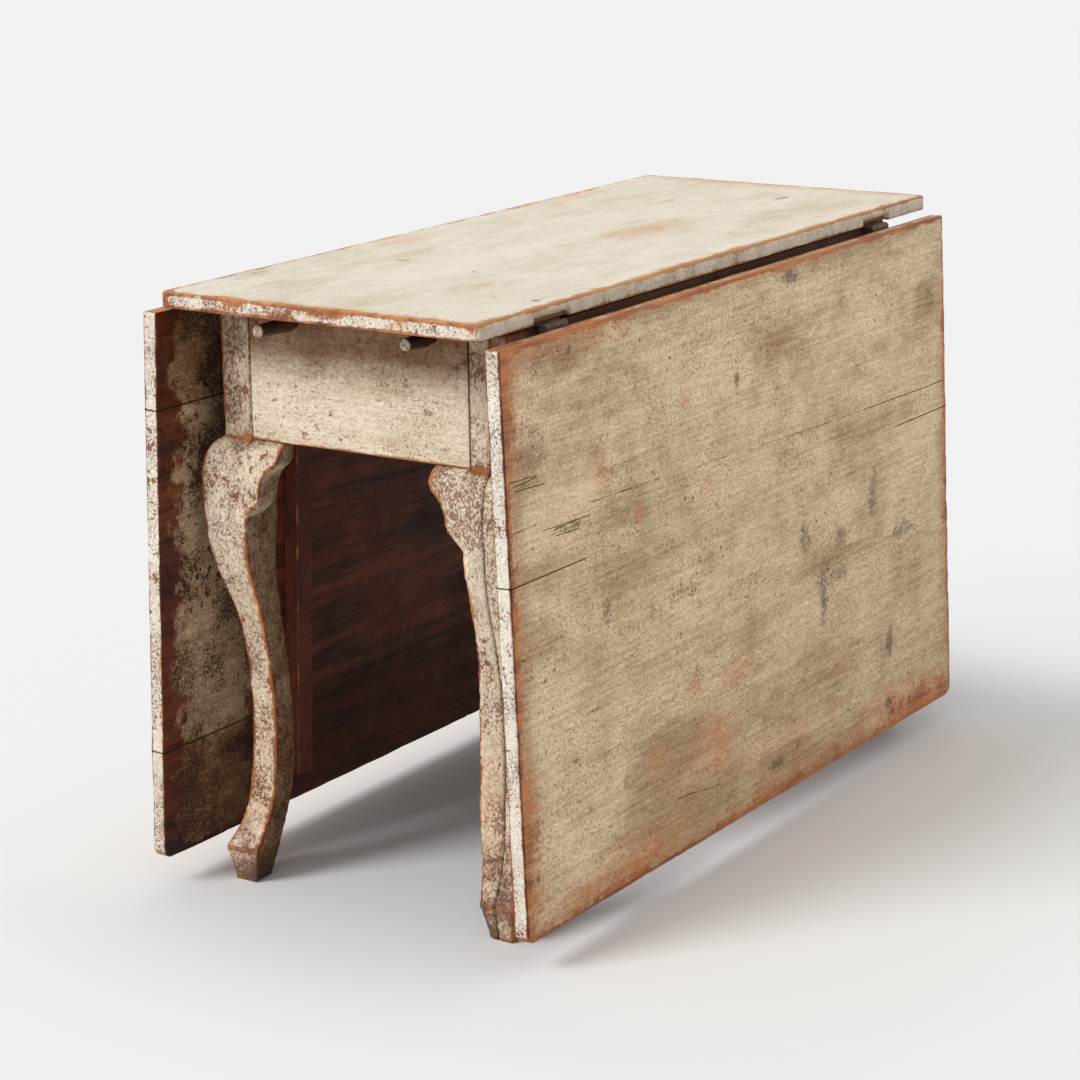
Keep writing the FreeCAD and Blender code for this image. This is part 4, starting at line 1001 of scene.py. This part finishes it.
LEAF_TONES = (
    (-450, 200, 170, 76, -0.40), (-95, 115, 190, 76, -0.40), (300, 112, 100, 66, -0.40),
    (0, 60, 500, 60, -0.15), (-170, 355, 120, 44, -0.40), (-420, 570, 210, 96, -0.28),
    (-480, 420, 150, 96, -0.22), (230, 338, 140, 54, -0.25), (420, 300, 130, 220, -0.15),
    (100, 470, 170, 56, -0.20), (-100, 250, 220, 60, -0.18), (-420, 26, 180, 44, 0.35),
    (-500, 132, 96, 66, 0.40), (-470, 258, 140, 40, 0.28), (-320, 300, 210, 50, 0.28),
    (-265, 570, 130, 76, 0.50), (-200, 540, 180, 64, 0.55), (-190, 622, 340, 44, 0.55),
    (60, 636, 170, 44, 0.55), (490, 108, 80, 70, 0.55), (60, 92, 130, 54, 0.30), (-230, 420, 310, 50, 0.18),
    (200, 402, 270, 30, 0.35), (340, 545, 70, 70, 0.35), (-490, 332, 90, 44, 0.25), (300, 246, 340, 26, 0.25),
    (-330, 226, 170, 30, 0.30), (160, 560, 300, 80, 0.25), (0, 670, 1200, 60, 0.45),
    (-540, 340, 60, 800, 0.40), (540, 340, 50, 800, 0.30), (0, 0, 1200, 40, 0.35))
RIGHT_CRACKS = (
    (542, 229, 300, 225, 1.0), (300, 225, 89, 220, 0.55), (-369, 204, -222, 207, 0.6),
    (-540, 499, -464, 506, 0.4), (-222, 207, 89, 220, 0.45), (-530, 148, -478, 150, 0.8),
    (-522, 159, -470, 162, 0.8), (-470, 214, -380, 218, 0.8), (-446, 226, -400, 228, 0.8),
    (-530, 205, -490, 204, 0.6), (-330, 172, -270, 174, 0.5), (-210, 606, -110, 618, 0.6),
    (-60, 395, 110, 398, 0.4))
LEFT_STAINS = (
    (-200, 300, 60, 30, 0.5), (250, 420, 40, 60, 0.5), (60, 180, 30, 50, 0.4), (330, 150, 70, 30, 0.4))
LEFT_WARMS = ((-100, 560, 300, 120, 0.5), (250, 600, 300, 100, 0.45), (-400, 200, 120, 120, 0.4))
LEFT_CRACKS = ((542, 300, 380, 304, 0.9), (-542, 230, -430, 226, 0.6))

# The marks of each leaf and the seams between its boards
LEAF_MARKS = {
    "left": {"stains": LEFT_STAINS, "warms": LEFT_WARMS, "bares": WORN_RIMS, "cracks": LEFT_CRACKS,
             "seams": (118, 541.2)},
    "right": {"stains": RIGHT_STAINS, "warms": RIGHT_WARMS, "bares": RIGHT_BARE, "cracks": RIGHT_CRACKS,
              "seams": (265,)}}

# A leaf board's side, level, free sides, corner radii and seed
LEAF_BOARDS = (
    ("left", "upper", (1, 1, 1, 0), (3, 3, 1, 1), 21),
    ("left", "middle", (1, 1, 0, 0), (1, 1, 1, 1), 22),
    ("left", "lower", (1, 1, 0, 1), (1, 1, 15, 15), 23),
    ("right", "upper", (1, 1, 1, 0), (3, 3, 1, 1), 24),
    ("right", "lower", (1, 1, 0, 1), (1, 1, 15, 15), 25))
INNER_SKIN = 1.6 * MM

# Places in millimetres over which a leaf's end, the lower part of it, an open seam and the bottom begin
LEAF_END = (539.5, 541.5)
LEAF_LOW_END = (420, 560)
LEAF_SEAM_OPEN = (375, 395)
LEAF_BOTTOM = (655, 677)

# The same for the inner face: its bare middle, the strip at its ends and its lower and upper boards
INSIDE_MIDDLE = (400, 335)
INSIDE_STRIP = (498, 526)
INSIDE_LOWER = (520, 560)
INSIDE_UPPER = (135, 105)


class TABLE_OT_leaf_boards(bpy.types.Operator):
    """Make the worn boards of both hanging leaves"""
    bl_idname = "table.leaf_boards"
    bl_label = "Leaf boards"

    def execute(self, context):
        coats = painted_materials(
            context.scene.table_finish, "worn_leaf_paint", "leaf_inside_wood", "worn_leaf_end")
        for side, level, free, corners, seed in LEAF_BOARDS:
            node = f"{side}_leaf_{level}_board"
            board = Board(node, leaf_axes(side), free, corners, (3, 3), 1.0, seed, 0.9)
            piece = board.build(context.scene.table_wear)
            local = board.local_points()
            inner = board.low[2] + INNER_SKIN
            within = local[:, 2] < inner
            outside = self.outside(side, local)
            inside = self.inside(side, local)
            layers = {key: np.where(within, inside[key], outside[key]) for key in outside}
            signed, here = cracks(local, LEAF_MARKS[side]["cracks"])
            shift = (0.0, 0.0, 0.4 if side == "left" else 0.0)
            store(piece, place=local + shift, edge=board.edges(local), crack=signed,
                  cracked=np.where(within, 0.0, here), **layers)
            sawn = face_middles(piece.data, np.abs(local[:, 0])) > SAWN_END
            hidden = face_middles(piece.data, local[:, 2]) < inner
            finish_piece(piece, f"{side}_leaf", (node,), coats, np.where(hidden, 1, 2 * sawn))
        return {"FINISHED"}

    def outside(self, side, local):
        """Marks on the painted face and the edges of a leaf."""
        marks = LEAF_MARKS[side]
        x = np.abs(local[:, 0])
        end = rise(x, *LEAF_END)
        bare = blots(local, marks["bares"]) * (1.0 - end) + 0.30 * end * rise(local[:, 1], *LEAF_LOW_END)
        arris = np.hypot(HALF_LENGTH - x, LEAF_FACE - local[:, 2])
        dirt = 0.2 * end * patchy(local, 40, 9) + 1.9 * beside(arris, 2.2)
        dirt = dirt + 1.6 * rise(x, *LEAF_SEAM_OPEN) * self.seam_lines(side, local)
        dirt = dirt + 0.5 * rise(local[:, 1], *LEAF_BOTTOM)
        flip = (1.0 if side == "right" else -1.0, 1.0, 1.0)
        return {"bare": bare - 0.9 * blots(local, PALE_CHIPS),
                "stain": blots(local, marks["stains"]) * (1.0 - end),
                "warm": np.maximum(blots(local, marks["warms"]), 0.14 * (1.0 - end)),
                "dirt": dirt,
                "tone": blots(local * flip, LEAF_TONES, np.add) * (1.0 - end)}

    def seam_lines(self, side, local):
        """1 along the seams between the boards of a leaf."""
        seams = LEAF_MARKS[side]["seams"]
        return beside(np.min([np.abs(local[:, 1] - seam * MM) for seam in seams], axis=0), 0.9)

    def inside(self, side, local):
        """Paint at both ends of a leaf's inner face, bare wood between."""
        ragged = 20 * MM * wander(local, 45, 14) + 18 * MM * wander(local, 14, 15)
        far = np.abs(local[:, 0]) + ragged
        strip = rise(far, *INSIDE_STRIP)
        lower = rise(local[:, 1], *INSIDE_LOWER)
        upper = rise(local[:, 1], *INSIDE_UPPER)
        bare = np.maximum(rise(far, *INSIDE_MIDDLE) * 1.1, 0.95 * strip)
        dirt = np.minimum(0.42 + 0.55 * lower + 0.42 * upper + 0.34 * strip, 0.95)
        every = np.ones(len(local))
        return {"bare": np.maximum(bare, 0.08 + 0.32 * lower),
                "stain": 0.0 * every,
                "warm": 0.12 * every,
                "dirt": dirt + 1.2 * self.seam_lines(side, local),
                "tone": 0.1 * every}


class TABLE_OT_battens(bpy.types.Operator):
    """Make the four cross battens inside the leaves"""
    bl_idname = "table.battens"
    bl_label = "Battens"

    def execute(self, context):
        coats = painted_materials(context.scene.table_finish, "red_batten_wood")
        seed = 31
        for side in ("left", "right"):
            leaf = leaf_axes(side)
            axes = Axes(leaf.origin, leaf.turn[1], leaf.turn[0], leaf.turn[2])
            for end in ("near", "far"):
                node = f"{side}_leaf_{end}_batten"
                board = Board(node, axes, (1, 1, 1, 1), (2, 2, 2, 2), (2, 2), 0.5, seed)
                piece = board.build(context.scene.table_wear)
                local = board.local_points()
                store(piece, place=local, edge=board.edges(local))
                finish_piece(piece, f"{side}_leaf", (node,), coats)
                seed += 1
        return {"FINISHED"}


# The frame: aprons and legs

APRON_DENTS = (
    (62, 622, 8, 6, 0.9), (-67, 644, 7, 10, 1.0), (39, 600, 6, 5, 0.8), (-35, 640, 24, 5, 0.9),
    (-100, 616, 22, 9, 0.75), (-30, 622, 8, 6, 0.8), (-50, 668, 40, 7, 0.7), (-140, 672, 14, 4, 1.1),
    (-140, 634, 12, 3, 1.0), (-118, 575, 30, 5, 0.7))
# Painted shadows below the pegs on the end aprons, ovals in millimetres
PEG_SHADOWS = ((70, 695, 90, 44, 0.35), (-110, 695, 90, 44, 0.35))

# An apron's node, axes, free sides, half length between the posts and seed
APRONS = (
    ("near_apron", END_APRON, (0, 0, 1, 0), POST_INSIDE_Y, 41),
    ("far_apron", END_APRON, (0, 0, 1, 0), POST_INSIDE_Y, 42),
    ("left_apron", SIDE_APRON, (0, 0, 0, 1), POST_INSIDE_X, 43),
    ("right_apron", SIDE_APRON, (0, 0, 0, 1), POST_INSIDE_X, 44))
APRON_SKIN = 2 * MM
# Heights in millimetres over which the apron's painted shade under the top rises
APRON_SHADE = (605, 705)


class TABLE_OT_aprons(bpy.types.Operator):
    """Make the four aprons between the legs"""
    bl_idname = "table.aprons"
    bl_label = "Aprons"

    def execute(self, context):
        coats = painted_materials(context.scene.table_finish, "leaf_inside_wood", "worn_apron_paint")
        for node, axes, free, reach, seed in APRONS:
            board = Board(node, axes, free, (0.3, 0.3, 0.3, 0.3), (2, 2), 0.5, seed, reach=reach)
            piece = board.build(context.scene.table_wear)
            local = board.local_points()
            out = np.sign(0.5 * (board.low[2] + board.high[2]))
            outer = max(out * board.low[2], out * board.high[2]) - APRON_SKIN
            height = local[:, 1] if axes is END_APRON else -local[:, 1]
            # Painted shade: the apron under the top's overhang and below the pegs is darkened and warmed as
            # if shaded, carried with the dirt
            under_top = rise(height, *APRON_SHADE)
            pegs = blots(local * (-out, 1.0, 1.0), PEG_SHADOWS if axes is END_APRON else ())
            # The joints beside the posts are dark lines; at one end of each apron the line is darker still,
            # painted shade in the gap
            joint = beside(reach - np.abs(local[:, 0]), 1.3)
            dirt = np.minimum(1.25 * under_top + pegs, 1.0)
            dirt = dirt + (0.45 + 0.4 * np.sign(-out * local[:, 0])) * joint
            store(piece, place=local + (0.0, 0.0, 0.2 * seed), edge=board.edges(local), dirt=dirt,
                  stain=blots(local, APRON_DENTS), warm=0.04 + 0.12 * under_top)
            shown = out * face_middles(piece.data, local[:, 2]) > outer
            finish_piece(piece, "frame", (node,), coats, shown)
        return {"FINISHED"}


LEG_GROUPS = (
    ("near_left_leg", "near_left_end_ear", "near_left_side_ear"),
    ("far_right_leg", "far_right_end_ear", "far_right_side_ear"),
    ("near_right_leg_fixed_half", "near_right_end_ear"),
    ("far_left_leg_fixed_half", "far_left_end_ear"),
    ("right_gate_leg", "right_gate_ear"),
    ("left_gate_leg", "left_gate_ear"))

# Heights in millimetres over which a leg's foot, shin and post and the shade of the top begin
FOOT = (150, 20)
SHIN = (420, 120)
POST = (540, 560)
SHADE = (600, 715)

# Distances across the table, in millimetres, over which a post beside a leaf grows darker
BESIDE_LEAF = (150, 205)


class TABLE_OT_legs(bpy.types.Operator):
    """Make the carved legs with the ears glued beside their knees"""
    bl_idname = "table.legs"
    bl_label = "Legs and ears"

    def execute(self, context):
        coats = painted_materials(context.scene.table_finish, "worn_leg_paint")
        voxel = context.scene.table_wear.leg_voxel
        for index, nodes in enumerate(LEG_GROUPS):
            piece, points, edges, joints = carve(nodes, voxel, 50 + 3 * index, plugs="tenon_pins")
            height = points[:, 2]
            foot = rise(height, *FOOT)
            shin = rise(height, *SHIN)
            post = rise(height, *POST)
            under_top = rise(height, *SHADE)
            beside_leaf = rise(np.abs(points[:, 1]), *BESIDE_LEAF)
            # Painted shade: the legs' inner faces below the posts and their tops under the table top are
            # darkened as if shaded, carried with the dirt
            inner = (point_array(piece.data, "normal")[:, :2] * -np.sign(points[:, :2])).max(1)
            shaded = smooth(inner, 0.5, 0.9) * (1.0 - post)
            dirt = 0.25 * under_top + post * (0.24 + 0.40 * beside_leaf + 0.85 * beside(joints, 2.2))
            dirt = dirt + 0.22 * foot + 0.12 * shin + 0.80 * shaded
            dirt = dirt + 0.4 * np.clip(wander(points, 50, 8), 0.0, 1.0)
            store(piece, place=UPRIGHT.inward(points) + (0.0, 0.0, 0.35 * index), edge=edges, dirt=dirt,
                  bare=0.04 + 0.14 * shin + 0.06 * foot, stain=0.42 * foot + 0.20 * shin,
                  warm=0.08 + 0.20 * shin)
            hidden = nodes + ("tenon_pins",) if index == 0 else nodes
            finish_piece(piece, "frame", hidden, coats)
        return {"FINISHED"}


# Small parts

PEG_NODES = ("near_left_peg", "near_right_peg", "far_left_peg", "far_right_peg")
PEG_SWELL = 0.35
PEG_SHOWN = (467, 478)
RAIL_NODES = (
    "left_gate_rail", "right_gate_rail", "left_gate_mount", "right_gate_mount",
    "near_top_cleat", "far_top_cleat")
RAIL_SOFTNESS = 1.5 * MM
PIN_SOFTNESS = 0.6 * MM
IRON_SOFTNESS = 0.5 * MM


class TABLE_OT_pegs(bpy.types.Operator):
    """Make the whittled pegs that hold the top down"""
    bl_idname = "table.pegs"
    bl_label = "Pegs"

    def execute(self, context):
        coats = painted_materials(context.scene.table_finish, "whittled_peg_wood")
        voxel = context.scene.table_wear.peg_voxel
        for index, node in enumerate(PEG_NODES):
            piece, points, edges, _ = carve((node,), voxel, 90 + 3 * index, smoothing=2, erosion=0.5)

            # The shown part is thicker than the solid
            offset = points - points.mean(0)
            axis = np.linalg.svd(offset, full_matrices=False)[2][0]
            from_axis = offset - np.outer(offset @ axis, axis)
            shown = rise(np.abs(points[:, 0]), *PEG_SHOWN)
            points = points + PEG_SWELL * shown[:, None] * from_axis
            move_points(piece, points)

            # The cut end is pale with a dark pith
            tip = np.abs(points[:, 0]).max() - np.abs(points[:, 0])
            middle = points[tip < 2 * MM].mean(0)
            pith = np.hypot(points[:, 1] - middle[1], points[:, 2] - middle[2])
            store(piece, place=points, edge=edges, bare=1.2 * rise(tip, 0.8, 2.6),
                  stain=rise(pith, 2.6, 1.2) * rise(tip, 2.0, 1.0), warm=np.full(len(points), 0.25))
            finish_piece(piece, "frame", (node,), coats)
        return {"FINISHED"}


class TABLE_OT_hidden_wood(bpy.types.Operator):
    """Finish the gate rails, their mounts, the cleats and the wooden pins"""
    bl_idname = "table.hidden_wood"
    bl_label = "Rails, cleats and pins"

    def execute(self, context):
        finish = context.scene.table_finish
        rail = bare_wood_material("rail_wood", finish.rail_wood, finish.rail_wood_dark)
        pin = bare_wood_material("pin_wood", finish.peg_wood, finish.peg_wood_dark)
        for node in RAIL_NODES:
            dress_node(node, rail, RAIL_SOFTNESS)
        for node in ("left_gate_pin", "right_gate_pin"):
            dress_node(node, pin, PIN_SOFTNESS)
        return {"FINISHED"}


class TABLE_OT_ironwork(bpy.types.Operator):
    """Finish the hinges and the nails"""
    bl_idname = "table.ironwork"
    bl_label = "Hinges and nails"

    def execute(self, context):
        iron = iron_material(context.scene.table_finish.iron)
        for node in sorted(frame["nodes"]):
            if "hinge" in node or node.endswith("_nails"):
                dress_node(node, iron, IRON_SOFTNESS)
        return {"FINISHED"}


def dress_node(node, material, softness):
    """Gives a CAD solid its material and softens its arrises."""
    piece = frame["nodes"][node]
    piece.data.materials.clear()
    piece.data.materials.append(material)
    bevel = piece.modifiers.new("soft arrises", "BEVEL")
    bevel.width = softness
    bevel.segments = 2
    bevel.limit_method = "ANGLE"
    bevel.angle_limit = math.radians(35)


# Stage

CAMERA_PLACE = (-3.1352, -2.0074, 1.3343)
CAMERA_YAW = 0.58289566
CAMERA_PITCH = -0.2587153
CAMERA_ROLL = -0.01593226
CAMERA_LENS = 99.52
CAMERA_REACH = 200.0
KEY_TRAVEL = (1.08, -0.57, -1.0)
KEY_SOFTNESS = 24.0
FILL_TINT = (1.0, 0.99, 0.975)
BACKDROP_WHITE = 0.88
FLOOR_REACH = 40.0
FLOOR_MIDDLE = (0.0, -0.18, 0.0)
FLOOR_KEPT = (0.56, 0.46, 1.0)
FLOOR_FADE = 0.42
FLOOR_FADED = 0.85
FLOOR_MOTTLE = 0.985
FLOOR_WHITE = 0.885


class TABLE_OT_stage(bpy.types.Operator):
    """Set up the floor, the light and the camera"""
    bl_idname = "table.stage"
    bl_label = "Floor, light and camera"

    def execute(self, context):
        scene = context.scene
        scene.view_settings.view_transform = "Standard"
        self.floor(scene.table_stage)
        self.light(scene)
        self.camera(scene)
        return {"FINISHED"}

    def floor(self, stage):
        """A wide pale floor that keeps the shadow."""
        material = bpy.data.materials.new("studio_floor")
        material.use_nodes = True
        wiring = Wiring(material.node_tree)
        shader = material.node_tree.nodes["Principled BSDF"]
        place = wiring.output("ShaderNodeTexCoord", "Object")
        pale = tuple(stage.floor_colour)
        soft = tuple(FLOOR_MOTTLE * part for part in pale)
        wiring.fill(shader, {
            "Base Color": wiring.mix(wiring.noise(place, 3.0, 2.0), pale, soft),
            "Roughness": 0.9, "Specular IOR Level": 0.1})
        self.fade(wiring, shader, place)
        form = bmesh.new()
        bmesh.ops.create_grid(form, x_segments=4, y_segments=4, size=FLOOR_REACH)
        mesh = bpy.data.meshes.new("studio_floor")
        form.to_mesh(mesh)
        form.free()
        mesh.materials.append(material)
        floor = new_object("studio_floor", mesh)

    def fade(self, wiring, shader, place):
        """Lets the floor that the camera sees fade to plain white away from the table."""
        away = wiring.vector("ABSOLUTE", wiring.vector("SUBTRACT", place, FLOOR_MIDDLE))
        outside = wiring.vector("MAXIMUM", wiring.vector("SUBTRACT", away, FLOOR_KEPT))
        distance = wiring.vector("LENGTH", outside)
        seen = wiring.output("ShaderNodeLightPath", "Is Camera Ray")
        share = wiring.ramp(distance, 0.0, FLOOR_FADE, 0.0, FLOOR_FADED) * seen
        glow = wiring.node("ShaderNodeEmission")
        wiring.fill(glow, {"Strength": FLOOR_WHITE})
        blend = wiring.node("ShaderNodeMixShader")
        wiring.fill(blend, {0: share, 1: shader.outputs[0], 2: glow.outputs[0]})
        wiring.fill(wiring.tree.nodes["Material Output"], {"Surface": blend.outputs[0]})

    def light(self, scene):
        """A key from the near left and soft light from all round."""
        lamp = bpy.data.lights.new("key", "SUN")
        lamp.energy = scene.table_stage.key_strength
        lamp.angle = math.radians(KEY_SOFTNESS)
        key = new_object("key", lamp)
        key.rotation_euler = Vector(KEY_TRAVEL).to_track_quat("-Z", "Y").to_euler()
        key.location = -3.0 * Vector(KEY_TRAVEL)
        world = bpy.data.worlds.new("studio")
        world.use_nodes = True
        scene.world = world
        wiring = Wiring(world.node_tree)
        rays = wiring.node("ShaderNodeLightPath").outputs
        seen = wiring.math("MAXIMUM", rays["Is Camera Ray"], rays["Is Glossy Ray"])
        seen = wiring.math("MAXIMUM", seen, rays["Is Transmission Ray"])
        strength = wiring.ramp(seen, 0.0, 1.0, scene.table_stage.fill_strength, BACKDROP_WHITE)
        wiring.fill(world.node_tree.nodes["Background"], {"Color": FILL_TINT, "Strength": strength})

    def camera(self, scene):
        """A camera at the photograph's viewing angle."""
        forward = Vector((
            math.cos(CAMERA_PITCH) * math.cos(CAMERA_YAW), math.cos(CAMERA_PITCH) * math.sin(CAMERA_YAW),
            math.sin(CAMERA_PITCH)))
        right = Vector((math.sin(CAMERA_YAW), -math.cos(CAMERA_YAW), 0.0))
        up = right.cross(forward)
        rolled_right = right * math.cos(CAMERA_ROLL) + up * math.sin(CAMERA_ROLL)
        rolled_up = up * math.cos(CAMERA_ROLL) - right * math.sin(CAMERA_ROLL)
        lens = bpy.data.cameras.new("camera")
        lens.lens = CAMERA_LENS
        lens.sensor_width = 36.0
        lens.clip_end = CAMERA_REACH
        camera = new_object("camera", lens)
        turn = Matrix((rolled_right, rolled_up, -forward)).transposed().to_4x4()
        camera.matrix_world = Matrix.Translation(CAMERA_PLACE) @ turn
        scene.camera = camera


class TABLE_PT_panel(bpy.types.Panel):
    """Lists the table's pieces and settings"""
    bl_idname = "TABLE_PT_panel"
    bl_label = "Drop-leaf table"
    bl_space_type = "VIEW_3D"
    bl_region_type = "UI"
    bl_category = "Table"

    def draw(self, context):
        for operator in OPERATORS:
            self.layout.operator(operator.bl_idname)
        for group in (context.scene.table_finish, context.scene.table_wear, context.scene.table_stage):
            box = self.layout.box()
            for field in group.__annotations__:
                box.prop(group, field)


OPERATORS = (
    TABLE_OT_stage, TABLE_OT_top_boards, TABLE_OT_leaf_boards, TABLE_OT_battens, TABLE_OT_aprons,
    TABLE_OT_legs, TABLE_OT_pegs, TABLE_OT_hidden_wood, TABLE_OT_ironwork)
CLASSES = (TableFinish, TableWear, TableStage) + OPERATORS + (TABLE_PT_panel,)


def register():
    """Adds the classes and the scene's settings."""
    for item in CLASSES:
        bpy.utils.register_class(item)
    bpy.types.Scene.table_finish = bpy.props.PointerProperty(type=TableFinish)
    bpy.types.Scene.table_wear = bpy.props.PointerProperty(type=TableWear)
    bpy.types.Scene.table_stage = bpy.props.PointerProperty(type=TableStage)


def unregister():
    """Takes the settings and the classes away again."""
    del bpy.types.Scene.table_stage
    del bpy.types.Scene.table_wear
    del bpy.types.Scene.table_finish
    for item in reversed(CLASSES):
        bpy.utils.unregister_class(item)


def main():
    """Makes the table's looks."""
    register()
    bpy.ops.table.stage()
    bpy.ops.table.top_boards()
    bpy.ops.table.leaf_boards()
    bpy.ops.table.battens()
    bpy.ops.table.aprons()
    bpy.ops.table.legs()
    bpy.ops.table.pegs()
    bpy.ops.table.hidden_wood()
    bpy.ops.table.ironwork()


if __name__ == "__main__":
    main()
